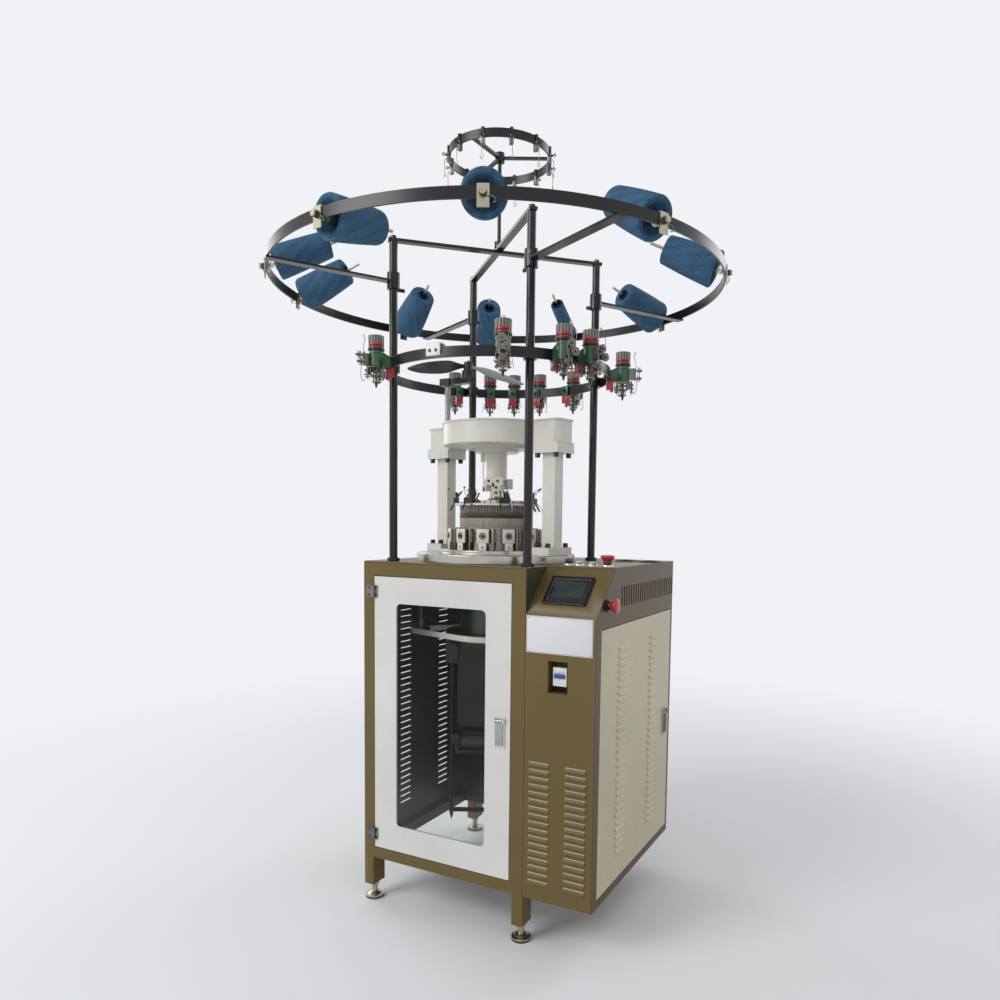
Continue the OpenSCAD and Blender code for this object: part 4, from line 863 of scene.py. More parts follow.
class KNIT_OT_cones(bpy.types.Operator):
    """Winds the yarn cones on their cores"""

    bl_idname = "knit.cones"
    bl_label = "Yarn cones"

    def execute(self, context):
        shell = [(14, 2), (16, 1), (CORE_R, 2.5), (CORE_R - 1.2, CONE_L + 3), (14, CONE_L + 4)]
        wound, cores = [], []
        for i, (turn, bend, fill) in enumerate(CONES):
            place = on_spindle(turn, bend) @ spot(z=CONE_FROM)
            yarn = wrapped(self.winding(fill))
            yarn.matrix_basis = place
            wound.append(yarn)
            core = stacked(f"core {i}", "core", shell, 32, True)
            core.matrix_basis = place
            cores.append(core)
        for name, parts in {"wound_yarn": wound, "cone_cores": cores}.items():
            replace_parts(settle(joined(name, parts), "machine", 50.0), "yarn_cones")
        return {"FINISHED"}

    @staticmethod
    def winding(fill):
        """Yarn on its core: hollow at the ring end, slightly bulged, its shoulders worn round."""
        big, small = CORE_R + fill * 32, CORE_R + fill * 21
        lip, hollow = 5 * fill, fill * 32 * 0.55
        inner = CORE_R - 0.6
        profile = [
            (inner, 19 * fill), (CORE_R + hollow * 0.35, 15 * fill), (CORE_R + hollow * 0.75, 7 * fill),
        ]
        profile += [(CORE_R + hollow, 2 * fill), (CORE_R + hollow + 2 * fill, 0.3), (big - lip * 0.75, 0)]
        profile += [(big - lip * 0.28, lip * 0.3), (big, lip)]
        for step in range(1, 8):
            share = step / 8
            swell = math.sin(math.pi * share) * 1.2 * fill
            profile.append((big + (small - big) * share + swell, lip + (CONE_L - 2 * lip) * share))
        profile += [
            (small, CONE_L - lip), (small - lip * 0.28, CONE_L - lip * 0.3), (small - lip * 0.8, CONE_L),
        ]
        profile += [(CORE_R + 3 * fill, CONE_L - 0.8), (inner, CONE_L - 2)]
        return stacked("winding", "yarn", profile, 48, True)


class KNIT_OT_castings(bpy.types.Operator):
    """Eases the edges of the enamelled castings and puts in their screws"""

    bl_idname = "knit.castings"
    bl_label = "Castings"

    def execute(self, context):
        eased("columns", "ivory", "machine", 2.5, 3)
        eased("top_casting", "ivory", "machine", 3.0, 3, 50.0)
        eased("casting_cover", "ivory", "machine", 1.4, 2, 50.0)
        eased("base_plate", "base_metal", "machine", 2.0, 3)
        eased("dial_tube", "ivory", "machine", 0.8, 2, 50.0)
        self.screws()
        return {"FINISHED"}

    @staticmethod
    def screws():
        """Socket screws in the columns' feet and, from below, in the top casting's flanges."""
        places = []
        for side in (0, 180):
            column = polar(HEAD_TURN + side, COLUMN_AT)
            for x in (-1, 1):
                for y in (-1, 1):
                    places.append(column @ spot(x * 16.5, y * 39, 996.2))
                    places.append(column @ spot(x * 30.5, y * 27.5, 1243.8, 180, "X"))
        screw = [(7.6, 0), (7.6, 1.4), (6.6, 1.6), (6.9, 2.2), (6.9, 10.2), (6.2, 11), (3.4, 11), (3.2, 7)]
        laid("casting_screws", [stacked("screw", "plastic", screw, 20)], places)


class KNIT_OT_feeders(bpy.types.Operator):
    """Builds the yarn feeders: castings, stop motions, tensioners and their turning wheels"""

    bl_idname = "knit.feeders"
    bl_label = "Yarn feeders"

    def execute(self, context):
        places = [polar(turn, FEEDER_AT, FEEDER_Z) for turn in FEEDER_TURNS]
        for name, slot, parts in (
            ("feeder_castings", "green_paint", self.casting()),
            ("feeder_stops", "red_plastic", self.stop_motion()),
            ("feeder_fittings", "steel", self.fittings()),
            ("feeder_wires", "chrome", self.wires()),
        ):
            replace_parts(laid(name, parts, places), "feeder_bodies")
        for kind, slot, parts in (
            ("drum", "steel", self.drum()),
            ("clutch", "red_plastic", self.clutch()),
            ("cage", "chrome", self.cage()),
        ):
            pattern = joined(kind, parts)
            for wheel, place in zip(FEEDER_WHEELS, places):
                piece = copied(pattern, f"{wheel}_{kind}", place)
                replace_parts(settle(piece, wheel), wheel)
            bpy.data.objects.remove(pattern)
        return {"FINISHED"}

    @staticmethod
    def casting():
        """The sloping arm with its housing, pocketed on both sides."""
        outline = [(-45.5, -16), (-45.5, 14), (-31, 15), (-14.5, 23), (0, 26), (0, -14)]
        arm = plate("arm", "green", outline, 25, 0)
        pick_flat(both=True)
        inset(3.2)
        bpy.ops.mesh.extrude_region_shrink_fatten(TRANSFORM_OT_shrink_fatten={"value": -1.6 * MM})
        soften(0.9, 2)
        outward()
        move(arm, (0, 12.5, 0), TO_FRONT)
        bore = FEEDER_SHAFT_R + 0.4
        housing = [
            (bore, -14), (17.2, -14), (18.4, -12.8), (18.4, -6), (17.4, -5.4), (17.4, 17), (18.6, 17.6),
            (18.6, 25), (17.6, 26), (bore, 26),
        ]
        return [arm, stacked("housing", "green", housing, 40, True)]

    @staticmethod
    def stop_motion():
        """The red stop switch under the clamp with its lamp."""
        case = block("case", "red", (-45.3, -10.8, -37.8), (-25.7, 10.8, -15.2), 2.2, 3)
        lamp = stacked("lamp", "red", [(3.8, 0), (4.2, 1.2), (4.2, 4), (3, 6.4), (1, 7.2)], 20)
        return [case, move(lamp, (-30, 0, -37.5), (180, 0, 0))]

    @staticmethod
    def fittings():
        """Bracket, tension discs, lever, guide pins, spools and clamp screw."""
        parts = [
            block("bracket arm", "hinge", (15.5, -8.9, -11.9), (35.4, -6.1, 19.9), 0.5, 1),
            block("bracket", "hinge", (32.6, -11.9, -11.9), (35.4, 11.9, 19.9), 0.7, 2),
        ]
        for y, z in ((-5, 14), (6, -5)):
            disc = [(2.4, 5), (9.4, 5), (10, 5.5), (9.2, 6.6), (3.2, 7.1), (2.4, 7.1)]
            for back in (False, True):
                profile = [(r, 16.2 - h) for r, h in disc] if back else disc
                parts.append(move(stacked("disc", "rust", profile, 28, True), (35.4, y, z), TO_X))
            pin = [(2.2, 0), (2.2, 12), (3.4, 12.2), (3.4, 15.6), (2.6, 16.8)]
            parts.append(move(stacked("pin", "hinge", pin, 16), (35.4, y, z), TO_X))
        parts += [
            block("lever", "rust", (-19, -18.6, -24), (15, -16.4, -17), 0.6, 1),
            block("lower bracket", "hinge", (16, -9, -34), (18.4, 9, -13), 0.6, 1),
            block("lower shelf", "rust", (16.4, -6.4, -36), (32, 6.4, -34.2), 0.4, 1),
        ]
        for y in (-13, 13):
            parts.append(rod("guide pin", "rust", 1.1, (-21, y, -14.6), (-21 + y * 0.2, y * 1.3, -44), 8))
        spool = [
            (1.6, -47), (1.8, -43), (6.4, -42.6), (6.8, -41.8), (6.4, -41), (2.2, -40.6),
            (2.2, -31), (5.8, -30.6), (6.2, -29.8), (5.8, -29), (2.2, -28.6), (2.2, -12),
        ]
        for x, y in ((25, 7), (-14, -13.5), (-15, 14.5)):
            parts.append(move(stacked("spool", "rust", spool, 20), (x, y, 0)))
        low_disc = [(2, 19), (8, 19), (8.8, 19.6), (8, 20.8), (2, 21.4)]
        for out in (0, 3.4):
            profile = [(r, h + out) for r, h in low_disc]
            parts.append(move(stacked("low disc", "hinge", profile, 24, True), (0, 0, -24), TO_X))
        low_pin = [(1.9, 18), (1.9, 27), (3, 27.4), (3, 30)]
        parts.append(move(stacked("low pin", "rust", low_pin, 12), (0, 0, -24), TO_X))
        clamp = [(4.4, 0), (5.4, 0.8), (5.4, 7), (4.6, 8)]
        parts.append(move(stacked("clamp screw", "plastic", clamp, 6), (-45.2, 0, 0), (0, -90, 0)))
        return parts

    @staticmethod
    def wires():
        """Guide wires, feelers and the ceramic eye."""
        parts = [
            wire(
                "feeler", "rust", 0.75,
                [(-32, -8, -30), (-20, -14, -33), (-6, -21, -30), (8, -22, -31), (20, -16, -36)],
            ),
            wire(
                "second feeler", "rust", 0.75,
                [(-32, 8, -30), (-20, 13, -35), (-4, 21, -37), (10, 20, -38)],
            ),
            wire(
                "inlet guide", "hinge", 0.8,
                [(34, 9, 16), (37, 12, 30), (34, 12, 46), (31, 6, 56), (33, 0, 60)],
            ),
            wire(
                "drop wire", "rust", 0.8,
                [(36, -9, -10), (37, -10, -26), (35, -12, -44), (30, -12, -50), (28, -9, -46)],
            ),
            wire("side feeler", "rust", 0.7, [(18, 9, -18), (26, 18, -26), (27, 22, -42), (22, 24, -52)]),
            wire(
                "outlet guide", "rust", 0.8,
                [(-26, 0, -34), (-16, 0, -44), (-12, 3, -52), (-7, 0, -55), (-12, -3, -52)],
            ),
        ]
        eye = [(2.0, -1.2), (3.2, -1.6), (4.2, 0), (3.2, 1.6), (2.0, 1.2)]
        parts.append(move(stacked("eye", "white", eye, 20, True), (33, -1, 63), (0, 70, 0)))
        return parts

    @staticmethod
    def drum():
        """The ribbed yarn drum and its cap on the clutch; its recessed walls are darker as painted shade.
        """
        ribs, low, high = 16, 44.6, 63.8
        outline = []
        for rib in range(ribs):
            for radius, share in ((18.2, 0.0), (18.2, 0.34), (20.2, 0.42), (20.2, 0.92)):
                turn = math.tau * (rib + share) / ribs
                outline.append((radius * math.cos(turn), radius * math.sin(turn)))
        drum = plate("ribs", "drum", outline, high - low, 0)
        pick_flat()
        inset(1.1)
        bpy.ops.transform.translate(value=(0, 0, 1.0 * MM))
        inset(4.5)
        drawn(-1.6)
        outward()
        # Recessed walls take the darker finish as painted shade
        drum.data.materials.append(FINISHES["groove"])
        for face in drum.data.polygons:
            if abs(face.normal.z) < 0.5 and face.center.xy.length < 18.7 * MM:
                face.material_index = 1
        move(drum, (0, 0, low - 0.5))
        nut = stacked("drum nut", "chrome", [(5, 62), (5, 65.5), (4.2, 66.3), (2.4, 66.5), (2.2, 67.2)], 16)
        return [drum, nut]

    @staticmethod
    def clutch():
        """Two red clutch bands with a black disc below."""
        lower = [(12, 31.8), (19.6, 31.8), (20.4, 32.6), (20.4, 35.4), (19.6, 36.2), (12, 36.2)]
        upper = [(12, 39.2), (19.6, 39.2), (20.4, 40), (20.4, 43.4), (19.6, 44.4), (12, 44.4)]
        between = [(12, 36), (18.8, 36), (18.8, 39.4), (12, 39.4)]
        bore = FEEDER_SHAFT_R
        disc = [(bore, 26.4), (20.6, 26.4), (21.4, 27.2), (21.4, 30.6), (20.6, 31.6), (bore, 31.6)]
        return [
            stacked("band", "red", lower, 40, True),
            stacked("band", "red", upper, 40, True),
            stacked("between", "plastic", between, 32, True),
            stacked("disc", "plastic", disc, 40, True),
        ]

    @staticmethod
    def cage():
        """The pin cage under the casting: two rings of pins between flat discs, and the tip."""
        top = [(4.2, -17.2), (17.4, -17.2), (18.4, -16.4), (18.4, -14.6), (4.2, -14.6)]
        parts = [stacked("cage top", "hinge", top, 32, True)]
        for count, radius, high, low, thick in ((9, 13.6, -16, -38, 1.2), (6, 8.2, -38, -52, 1.0)):
            for pin in range(count):
                turn = math.tau * pin / count
                x, y = radius * math.cos(turn), radius * math.sin(turn)
                parts.append(rod("pin", "rust", thick, (x, y, high), (x, y, low), 8))
        discs = [
            (3.2, -56), (10.4, -53.6), (11, -52.8), (10.6, -51.4), (3.4, -51), (3.4, -39.4), (15, -39),
            (15.8, -38), (15, -36.8), (3.4, -36.4), (3.4, -29), (9.2, -28.4), (9.2, -24.6), (4.2, -24),
            (4.2, -17),
        ]
        parts.append(stacked("discs", "hinge", discs, 28))
        tip = [(1.4, -66), (2.4, -65), (3.0, -60), (4.2, -56.8), (4.2, -55)]
        parts.append(stacked("tip", "plastic", tip, 20))
        return parts


class KNIT_OT_creel(bpy.types.Operator):
    """Dresses the creel: clamp knobs, hooks, ring clips and their hanging yarn guides"""

    bl_idname = "knit.creel"
    bl_label = "Creel fittings"

    def execute(self, context):
        eased("creel_posts", "gloss", "machine", 0.8, 2, 50.0)
        eased("crossbars", "gloss", "machine", 1.0, 2, 50.0)
        eased("creel_arms", "gloss", "machine", 0.8, 2, 50.0)
        self.holders()
        self.clips()
        self.junction_box()
        return {"FINISHED"}

    @staticmethod
    def junction_box():
        """The pale wiring box on the feeder ring with its two glands and black cap."""
        parts = [block("case", "white", (294, -20.5, 1461), (315, 20.5, 1492), 1.6, 3)]
        gland = [(1.6, 0), (4.2, 0), (4.2, 0.8), (2.4, 1.0), (2.2, 0.2)]
        for y in (-9, 9):
            parts.append(move(stacked("gland", "plastic", gland, 16), (314.9, y, 1474), TO_X))
        parts.append(block("cap", "plastic", (296, 20.2, 1466), (313, 25, 1488), 1.2, 2))
        piece = joined("junction_box", parts)
        piece.matrix_basis = polar(270) @ piece.matrix_basis
        settle(piece, "machine")

    @staticmethod
    def holders():
        """A knob outside each bracket, a nut inside it and a hook that catches the yarn."""
        rings = [(6.4, 613), (8.2, 614), (8.2, 616.5), (7.2, 617.5), (7.2, 620), (5.4, 622.6), (2.4, 622.8)]
        knob = move(stacked("knob", "plastic", rings, 20), (0, 0, -2), TO_X)
        rings = [(7.4, 4), (8.2, 4.6), (8.2, 9.2), (7.4, 10), (5.2, 10.2), (5.2, 13.5)]
        nut = stacked("nut", "chrome", rings, 6)
        curl = [(0, 6, 4), (3, 13, 5), (6, 20, 3), (5, 25, -2), (1, 24, -6), (0, 20, -5)]
        hook = wire("hook", "hinge", 1.1, curl)
        turns = [turn for turn, *_ in CONES]
        laid("creel_knobs", [knob], [polar(turn, 0, SPINDLE_Z) for turn in turns])
        laid("creel_nuts", [nut], [on_spindle(turn, bend) for turn, bend, _ in CONES])
        laid("creel_hooks", [hook], [polar(turn, 611.5, SPINDLE_Z - 14) for turn in turns])

    @staticmethod
    def clips():
        """Clips round the top ring with a thin wire and a loop on each."""
        clip = block("clip", "hinge", (134.2, -5, 2023), (145.6, 5, 2047), 1.0, 2)
        screw = stacked("screw", "plastic", [(2.8, 0), (3.2, 0.6), (3.2, 2.6), (2.4, 3.2)], 12)
        move(screw, (145.4, 0, 2041), TO_X)
        drop = [(144, 0, 2030), (149, 0, 2030), (151, 0, 2026), (151, 0, 2008), (150.4, 1, 1996)]
        curl = [(1, 1996), (4, 1991), (3.6, 1985), (0, 1982), (-3.4, 1985), (-3, 1992)]
        stem = wire("stem", "rust", 0.8, drop)
        loop = wire("loop", "rust", 0.8, [(150.4, y, z) for y, z in curl])
        places = around(TOP_CLIPS, 12)
        laid("top_ring_clips", [clip, screw], places)
        laid("top_ring_guides", [stem, loop], places)


class KNIT_OT_head(bpy.types.Operator):
    """Builds the knitting head's fine parts: needles, cam fronts, fingers and screws"""

    bl_idname = "knit.head"
    bl_label = "Knitting head"

    def execute(self, context):
        self.needles()
        self.cams()
        self.fingers()
        self.tube_screws()
        eased("dial", "machined_ivory", "dial", 0.5, 1, 50.0)
        return {"FINISHED"}

    @staticmethod
    def needles():
        """One needle in each groove, its stem and its hook over the verge, and the sleeve below them."""
        stem = block("stem", "needle", (99.0, -0.55, 1084), (102.3, 0.55, 1111.4), 0.2, 1)
        bend = [(100.4, 1111), (100.4, 1114.4), (101.4, 1115.6), (102.5, 1114.6), (102.6, 1112.6)]
        hook = wire("hook", "needle", 0.45, [(x, 0, z) for x, z in bend])
        laid("needles", [stem, hook], around(NEEDLES), "knitting_rotor", 30.0)
        sleeve = [(101.4, 1049.6), (102.5, 1050.2), (102.7, 1051), (102.7, 1071), (101.4, 1071.6)]
        settle(stacked("cylinder_sleeve", "bed", sleeve, 96, True), "knitting_rotor")

    @staticmethod
    def cams():
        """Each cam box: a pale face plate with its dark adjuster, a foot plate, a guard and a spring."""
        fronts = [
            block("front", "ivory", (131.2, -16.6, 1004.5), (135.1, 16.6, 1042.0), 1.1, 2),
            block("foot", "ivory", (131.0, -10.8, 985.4), (136.6, 10.8, 1005.2), 0.8, 2),
        ]
        pin = move(stacked("pin", "plastic", [(1.8, 0), (2.2, 0.4), (2.2, 1.6)], 12), (136.2, 0, 993), TO_X)
        rings = [
            (8.6, 134.4), (9.4, 134.8), (9.4, 136.0), (7.4, 136.4), (7.2, 134.8),
            (5.2, 134.6), (5.0, 137.0), (4.0, 137.6), (2.6, 137.6), (2.2, 136.2),
        ]
        knob = move(stacked("adjuster", "plastic", rings, 24), (0, 0, 1023.5), TO_X)
        coil = []
        for step in range(46):
            turn = step * 1.05
            coil.append((125 + 2.6 * math.cos(turn), 34 + 2.6 * math.sin(turn), 1008 + step * 0.62))
        spring = wire("spring", "steel", 0.7, coil)
        guard = block("guard", "cam_metal", (118.5, 22, 985.5), (126.5, 29, 1043), 0.7, 2)
        # Dark strips on the guard as painted shade in its slots
        slots = []
        for y in (20.4, 31.5):
            slots.append(block("slot", "gap", (118.6, y - 1.2, 990), (119.4, y + 1.2, 1040), 0.1, 1))
        places = around(CAM_BOXES, HEAD_TURN + 25.5)
        laid("cam_fronts", fronts, places)
        laid("cam_guards", [guard, *slots], places)
        laid("cam_adjusters", [knob, pin], places)
        laid("cam_springs", [spring], places)

    @staticmethod
    def tube_screws():
        """Socket screws in the blocks round the foot of the dial tube."""
        rows = (
            (292, 22, ((-16, 22), (9, 22), (-4, 14))), (298, 26, ((0, -10), (0, 4), (-8, 9))),
            (245, 18, ((0, 3), (0, -3))), (52, 18, ((-7, 16), (7, 16))), (160, 18, ((-7, 16), (7, 16))),
        )
        places = []
        for turn, depth, screws in rows:
            for y, z in screws:
                places.append(polar(turn, 25 + depth - 1.5, 1152) @ spot(0, y, z, 90, "Y"))
        screw = stacked("screw", "plastic", [(3.3, 0), (3.3, 2.8), (2.7, 3.4), (1.6, 3.4), (1.5, 1.8)], 16)
        laid("tube_screws", [screw], places)

    @staticmethod
    def fingers():
        """Thin steel fingers, levers and knobs on the finger groups."""
        steel = [
            wire(
                "finger", "steel", 0.7,
                [(112, -9, 1126), (120, -10, 1140), (127, -6, 1150), (133, 2, 1154)],
            ),
            wire("finger", "steel", 0.7, [(112, 3, 1126), (121, 4, 1143), (128, 9, 1152), (131, 16, 1152)]),
            wire("finger", "steel", 0.7, [(108, 9, 1124), (100, 8, 1140), (92, 6, 1151)]),
            wire(
                "lever", "steel", 0.9, [(116, 12, 1116), (126, 16, 1106), (133, 17, 1096), (134, 14, 1089)],
            ),
        ]
        knob = stacked("knob", "plastic", [(3.2, 0), (4.6, 0.8), (4.6, 5), (3, 6.2)], 14)
        tip = stacked("tip", "plastic", [(1.6, 0), (2.6, 1.5), (2.6, 4), (1.2, 5.5)], 12)
        knobs = [move(knob, (112, 5, 1137)), move(tip, (133, 2, 1151), (0, 55, 0))]
        places = around(FINGER_GROUPS, HEAD_TURN - 38)
        laid("finger_wires", steel, places)
        laid("finger_knobs", knobs, places)


class KNIT_OT_fan(bpy.types.Operator):
    """Shapes the lint fan's curved blades, its hub and its head block"""

    bl_idname = "knit.fan"
    bl_label = "Lint fan"

    def execute(self, context):
        eased("fan_stand", "fan_head", "machine", 1.2, 2, 50.0)
        hub = [
            (4.9, -31), (4.9, -13.6), (11.4, -13.6), (12.6, -12.4), (12.6, 8), (11.6, 11.2), (8, 12.4),
            (3.2, 12.6), (3, 15.8), (1.6, 16.4),
        ]
        for part in (
            stacked("fan_hub", "plastic", hub, 32),
            self.blade("fan_blade_1", 50, "fan_grey"),
            # The second blade takes the darker finish as painted shade
            self.blade("fan_blade_2", 230, "fan_dark"),
        ):
            part.matrix_basis = spot(*FAN_HUB, FAN_TILT, "Y") @ part.matrix_basis
            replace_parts(settle(part, "fan_blades", 40.0), "fan_blades")
        return {"FINISHED"}

    @staticmethod
    def blade(name, turn, finish):
        """A pressed blade: a flat sheet drawn to its outline and bellied across, then drooped and pitched.
        """
        widths = (
            (8, 7), (24, 9), (52, 25), (80, 27), (108, 25), (135, 21), (155, 14), (168, 8), (175, 3.4),
        )
        root, tip = widths[0][0], widths[-1][0]

        def half(x):
            """Half the blade's width, this far out."""
            for (x0, w0), (x1, w1) in zip(widths, widths[1:]):
                if x <= x1:
                    return w0 + (w1 - w0) * (x - x0) / (x1 - x0)
            return widths[-1][1]

        bpy.ops.object.select_all(action="DESELECT")
        bpy.ops.mesh.primitive_grid_add(x_subdivisions=14, y_subdivisions=6, size=1)
        obj = started(name, finish)
        for vertex in obj.data.vertices:
            x = root + (vertex.co.x + 0.5) * (tip - root)
            side = vertex.co.y * 2
            y = side * half(x)
            belly = 2.2 * (1 - side * side) * min(1, (x - root) / 50)
            vertex.co = Vector((x, y, belly)) * MM
        thick = obj.modifiers.new("sheet", "SOLIDIFY")
        thick.thickness, thick.offset = 2.2 * MM, 0
        soft = obj.modifiers.new("soft", "SUBSURF")
        soft.levels = soft.render_levels = 1
        alone(obj)
        for modifier in ("sheet", "soft"):
            bpy.ops.object.modifier_apply(modifier=modifier)
        droop, pitch = spot(turn=10, axis="Y"), spot(turn=36, axis="X")
        obj.matrix_basis = spot(turn=turn) @ droop @ pitch @ spot(z=1.5)
        return obj


class KNIT_OT_console(bpy.types.Operator):
    """Dresses the control box: screen, bare plate, switches, guards, vents and seams"""

    bl_idname = "knit.console"
    bl_label = "Console"

    def execute(self, context):
        self.screen()
        self.name_plate()
        self.breaker()
        self.stops()
        self.collars()
        self.buttons()
        self.guards()
        self.gaps()
        return {"FINISHED"}

    @staticmethod
    def screen():
        """A moulded bezel with a thin bright frame line round the dark display."""
        slope = spot(*SLOPE_MID, SLOPE_RISE, "X")
        bezel = plate("bezel", "bezel", rounded(115.5, 90, 5), 4.2, 0)
        pick_flat()
        inset(1.4)
        bpy.ops.transform.translate(value=(0, 0, 0.8 * MM))
        inset(7.6)
        drawn(-1.2)
        outward()
        rim = plate("rim", "trim", rounded(98.8, 73.2, 2.2), 3.9, 0)
        glass = plate("glass", "display", rounded(95.4, 69.8, 1.6), 4.1, 0.15, 1)
        active = plate("active", "lit_display", rounded(84, 50, 0.8), 4.25, 0.1, 1)
        move(active, (0, 2, 0))
        for obj in (bezel, rim, glass, active):
            obj.matrix_basis = slope @ obj.matrix_basis
            obj.name = obj.data.name = "screen_" + obj.name
            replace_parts(settle(obj, "machine"), "touch_screen")

    @staticmethod
    def name_plate():
        """The plate under the slope, left bare, with a rivet in each corner."""
        x0, x1, z0, z1 = 225.5, 401.5, 746.5, 837
        sheet = block(
            "bare_plate", "plate_white", (x0, FRONT_Y - 1.1, z0), (x1, FRONT_Y + 0.02, z1), 0.35, 2,
        )
        settle(sheet, "machine")
        edge = rounded(x1 - x0 - 2.4, z1 - z0 - 2.4, 1.2)
        line = plate("plate_edge", "steel", edge, 0.24, 0)
        pick_flat(both=True)
        inset(1.0)
        bpy.ops.mesh.delete(type="FACE")
        outward()
        move(line, ((x0 + x1) / 2, FRONT_Y - 1.1, (z0 + z1) / 2), TO_FRONT)
        settle(line, "machine")
        rivet = stacked("rivet", "chrome", [(2.2, 0), (2.2, 0.3), (1.8, 0.9), (0.9, 1.3), (0.2, 1.4)], 14)
        corners = [(x, z) for x in (x0 + 5.5, x1 - 5.5) for z in (z0 + 5, z1 - 5)]
        places = [spot(x, FRONT_Y - 1.0, z, 90, "X") for x, z in corners]
        laid("plate_rivets", [rivet], places)

    @staticmethod
    def breaker():
        """The breaker's moulded front: two poles side by side, their labels bare."""
        x, z, back = 311.25, 690.5, FRONT_Y + 34
        body = []
        for name, finish, front, rear, half, ease in (
            ("pole", "bezel", 12, 1.8, 41.5, 1.2), ("nose", "white", 21.9, -11, 22.4, 1.6),
        ):
            for x0, x1 in ((x - 17.9, x - 0.3), (x + 0.3, x + 17.9)):
                low, high = (x0, back - front, z - half), (x1, back + rear, z + half)
                body.append(block(name, finish, low, high, ease, 2))
        settle(joined("breaker_front", body), "machine")

    @staticmethod
    def stops():
        """The mushroom heads of the two stop switches on their necks."""
        head = [
            (10.6, 12.4), (12.4, 17), (15.6, 21.4), (17.4, 23.2), (18, 24.6), (18, 27.2), (16.8, 29.0),
            (12.2, 30.3), (5, 30.6),
        ]
        neck = [(10.4, 5.8), (10.6, 6.4), (10.6, 11.6), (10.2, 12.6)]
        for name, place in (("estop_top", spot(*ESTOP_TOP)), ("estop_side", spot(*ESTOP_SIDE, 90, "Y"))):
            cap = stacked(name + "_cap", "red", head, 40)
            collar = stacked(name + "_neck", "plastic", neck, 32)
            for part, slot in ((cap, "red_plastic"), (collar, "black_plastic")):
                part.matrix_basis = place
                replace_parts(settle(part, name, 50.0), name)

    @staticmethod
    def collars():
        """Chromed collars of the switches on top, and the dark one of the stop switch on the side."""
        ring = [(10.2, 0), (12.6, 0), (13, 0.5), (13, 3.6), (12, 5.4), (10.6, 6), (10.2, 5.6)]
        big = [(10.8, 0), (14.4, 0), (15, 0.6), (15, 3.4), (13.8, 5.4), (11.4, 6), (10.8, 5.6)]
        places = [spot(x, SWITCH_Y, TOP_Z) for x in (SELECTOR_X, *BUTTONS.values())]
        crown = stacked("big collar", "chrome", big, 36, True)
        crown.matrix_basis = spot(*ESTOP_TOP)
        small = spread(stacked("collar", "chrome", ring, 36, True), "collars", places)
        dark = stacked("collar_side", "bezel", big, 36, True)
        dark.matrix_basis = spot(*ESTOP_SIDE, 90, "Y")
        for part, slot in ((joined("collar_rings", [small, crown]), "chrome"), (dark, "black_plastic")):
            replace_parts(settle(part, "machine"), "switch_collars")

    @staticmethod
    def buttons():
        """The pale caps of the two push buttons, dished on top."""
        rings = [(6, 5), (8.6, 8.4), (9.0, 9), (9.0, 10.9), (8.2, 11.8), (5.6, 11.9), (5.2, 11.5)]
        for name, x in BUTTONS.items():
            cap = move(stacked(name + "_cap", "white", rings, 28), (x, SWITCH_Y, TOP_Z))
            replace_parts(settle(cap, name), name)

    @staticmethod
    def guards():
        """Two low wire guards over the fans in the console's top."""
        parts = [plate("guard plate", "plastic", rounded(58, 58, 6), 1.6, 0.5)]
        for radius in (8, 14.5, 21, 27):
            ring = [(radius - 0.9, 3), (radius, 2.2), (radius + 0.9, 3), (radius, 4)]
            parts.append(stacked("ring", "plastic", ring, 36, True))
        for turn in (45, 135):
            x, y = 35 * math.cos(math.radians(turn)), 35 * math.sin(math.radians(turn))
            parts.append(rod("stay", "plastic", 1.0, (-x, -y, 2.4), (x, y, 2.4), 8))
        laid("fan_guards", parts, [spot(x, 225, TOP_Z) for x in (310, 381)])

    @staticmethod
    def gaps():
        """The joint between the cabinet and the control box, a dark sheet behind the vent as painted shade,
        and the sheet behind the side.
        """
        parts = [
            block("seam", "gap", (222.1, FRONT_Y - 0.12, 126.3), (223.0, FRONT_Y + 60, 838), 0.05, 1),
            block("seam", "gap", (222.1, FRONT_Y + 113, 951.2), (223.0, 352, 952.12), 0.05, 1),
            # Dark sheet as painted shade behind the vent
            block("vent back", "gap", (404.6, -100, 858), (405.4, 345, 925), 0.1, 1),
            block("side sheet", "olive", (221.5, -213, 800), (222.4, 250, 947.5), 0.1, 1),
        ]
        settle(joined("console_gaps", parts), "machine")


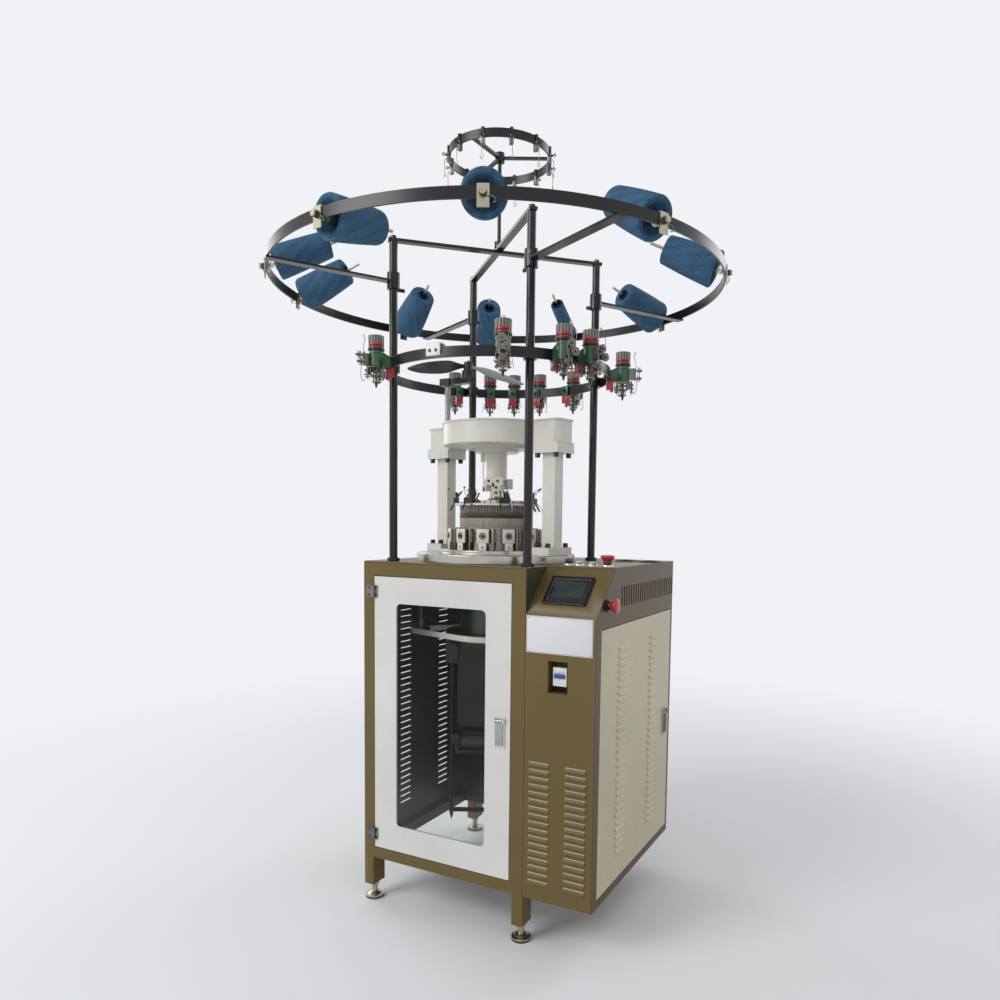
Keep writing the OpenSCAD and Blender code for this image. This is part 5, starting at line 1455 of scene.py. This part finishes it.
class KNIT_OT_cabinet(bpy.types.Operator):
    """Eases the edges of the cabinet's sheets, latches and hinges, and adds hinge screws and rubber soles
    """

    bl_idname = "knit.cabinet"
    bl_label = "Cabinet"

    def execute(self, context):
        for node, finish, body, slot, width in (
            ("cabinet_lid", "olive", "machine", "olive_paint", 1.6),
            ("front_door", "door", "front_door", "door_paint", 1.3),
            ("side_door", "side", "side_door", "side_door_paint", 0.9),
            ("left_panel", "olive", "machine", "olive_paint", 0.6),
            ("control_box", "olive", "machine", "olive_paint", 0.7),
            ("levelling_feet", "zinc", "machine", "foot_rubber", 0.8),
            ("front_latch", "latch", "front_latch", "steel", 0.6),
            ("side_latch", "plastic", "side_latch", "black_plastic", 0.6),
            ("door_hinges", "hinge", "machine", "steel", 0.4),
        ):
            eased(node, finish, body, width, 2, 50.0)
        self.screws()
        self.soles()
        return {"FINISHED"}

    @staticmethod
    def screws():
        """Two countersunk screws in each leaf of both hinges."""
        screw = stacked("hinge screw", "hinge_dark", [(3.1, 0), (2.9, 0.3), (1.6, 0.2), (1.4, -0.1)], 14)
        fixed, moving = [], []
        for z in HINGE_ZS:
            for up in (-10, 10):
                fixed.append(spot(HINGE_X - 16, FRONT_Y - 3, z + up, 90, "X"))
                moving.append(spot(HINGE_X + 8, FRONT_Y - 3, z + up, 90, "X"))
        laid("hinge_screws_fixed", [copied(screw, "fixed")], fixed)
        laid("hinge_screws_door", [screw], moving, "front_door")

    @staticmethod
    def soles():
        """Rubber soles under the levelling feet."""
        sole = stacked("sole", "rubber", [(23.8, 0), (25, 0.8), (25.2, 4), (24.6, 7.6), (22.6, 8.6)], 40)
        laid("foot_soles", [sole], [spot(x, y) for x in FOOT_XS for y in FOOT_YS])


class KNIT_OT_stage(bpy.types.Operator):
    """Makes the floor, the lamps, the background and the camera"""

    bl_idname = "knit.stage"
    bl_label = "Stage"

    def execute(self, context):
        stage = context.scene.knit_stage
        self.floor(stage)
        self.background(context.scene, stage)
        self.lamps(stage)
        self.camera(context.scene)
        context.scene.view_settings.view_transform = "Standard"
        return {"FINISHED"}

    @staticmethod
    def floor(stage):
        """A wide round floor under the machine."""
        bpy.ops.mesh.primitive_circle_add(
            vertices=96, radius=4.0, fill_type="NGON", location=(0, 0, -0.0005),
        )
        floor = bpy.context.object
        floor.name = "floor"
        floor.data.materials.append(floor_paper("floor paper", stage.floor))

    @staticmethod
    def background(scene, stage):
        """Soft light from all round, and a plain backdrop where it is seen or mirrored."""
        f = Finish("studio", "World")
        camera, glossy, through = (
            f.node("LightPath", out=f"Is {ray} Ray") for ray in ("Camera", "Glossy", "Transmission")
        )
        light = f.node("Background", None, (0.97, 0.98, 1.0, 1.0), stage.fill)
        view = f.node("Background", None, stage.sky, 1.0)
        scene.world = f.done(f.node("MixShader", None, camera.most(glossy.most(through)), light, view))

    @staticmethod
    def lamps(stage):
        """Three round lamps, turned to the middle of the machine."""
        aim = Vector((0.0, 0.0, 1.0))
        rows = [
            ("key lamp", (-1.9, -3.6, 3.2), 2.6, stage.key),
            ("side lamp", (-3.6, 1.0, 2.4), 2.2, stage.key * 0.25),
            ("back lamp", (1.8, 3.4, 3.0), 2.2, stage.key * 0.3),
        ]
        for name, place, size, power in rows:
            bpy.ops.object.light_add(type="AREA", location=place)
            lamp = bpy.context.object
            lamp.name = name
            lamp.data.shape = "DISK"
            lamp.data.size = size
            lamp.data.energy = power
            lamp.rotation_euler = (aim - Vector(place)).to_track_quat("-Z", "Y").to_euler()

    @staticmethod
    def camera(scene):
        """The camera, from its yaw, pitch and roll."""
        bpy.ops.object.camera_add(location=CAMERA_AT)
        camera = bpy.context.object
        yaw, pitch, roll = CAMERA_YAW, CAMERA_PITCH, CAMERA_ROLL
        ahead = Vector(
            (-math.sin(yaw) * math.cos(pitch), math.cos(yaw) * math.cos(pitch), -math.sin(pitch))
        )
        level = Vector((math.cos(yaw), math.sin(yaw), 0.0))
        rise = level.cross(ahead)
        right = level * math.cos(roll) + rise * math.sin(roll)
        up = rise * math.cos(roll) - level * math.sin(roll)
        camera.rotation_euler = Matrix((right, up, -ahead)).transposed().to_euler()
        camera.data.lens = CAMERA_LENS
        camera.data.shift_x, camera.data.shift_y = CAMERA_SHIFT
        camera.data.clip_start, camera.data.clip_end = 0.05, 60.0
        scene.camera = camera


class KNIT_PT_sidebar(bpy.types.Panel):
    """Shows a button for each operator that dresses the machine"""

    bl_idname = "KNIT_PT_sidebar"
    bl_label = "Knitting Machine"
    bl_space_type = "VIEW_3D"
    bl_region_type = "UI"
    bl_category = "Knitting Machine"

    def draw(self, context):
        for operator in OPERATORS:
            self.layout.operator(operator.bl_idname)


OPERATORS = (
    KNIT_OT_stage, KNIT_OT_finishes, KNIT_OT_cones, KNIT_OT_castings, KNIT_OT_feeders,
    KNIT_OT_creel, KNIT_OT_head, KNIT_OT_fan, KNIT_OT_console, KNIT_OT_cabinet,
)
GROUPS = {"knit_stage": KnitStage, "knit_paints": KnitPaints}
CLASSES = (*GROUPS.values(), *OPERATORS, KNIT_PT_sidebar)


def register():
    for cls in CLASSES:
        bpy.utils.register_class(cls)
    for name, group in GROUPS.items():
        setattr(bpy.types.Scene, name, bpy.props.PointerProperty(type=group))


def unregister():
    for name in GROUPS:
        delattr(bpy.types.Scene, name)
    for cls in reversed(CLASSES):
        bpy.utils.unregister_class(cls)


def main():
    register()
    for operator in OPERATORS:
        group, name = operator.bl_idname.split(".")
        getattr(getattr(bpy.ops, group), name)()


if __name__ == "__main__":
    main()
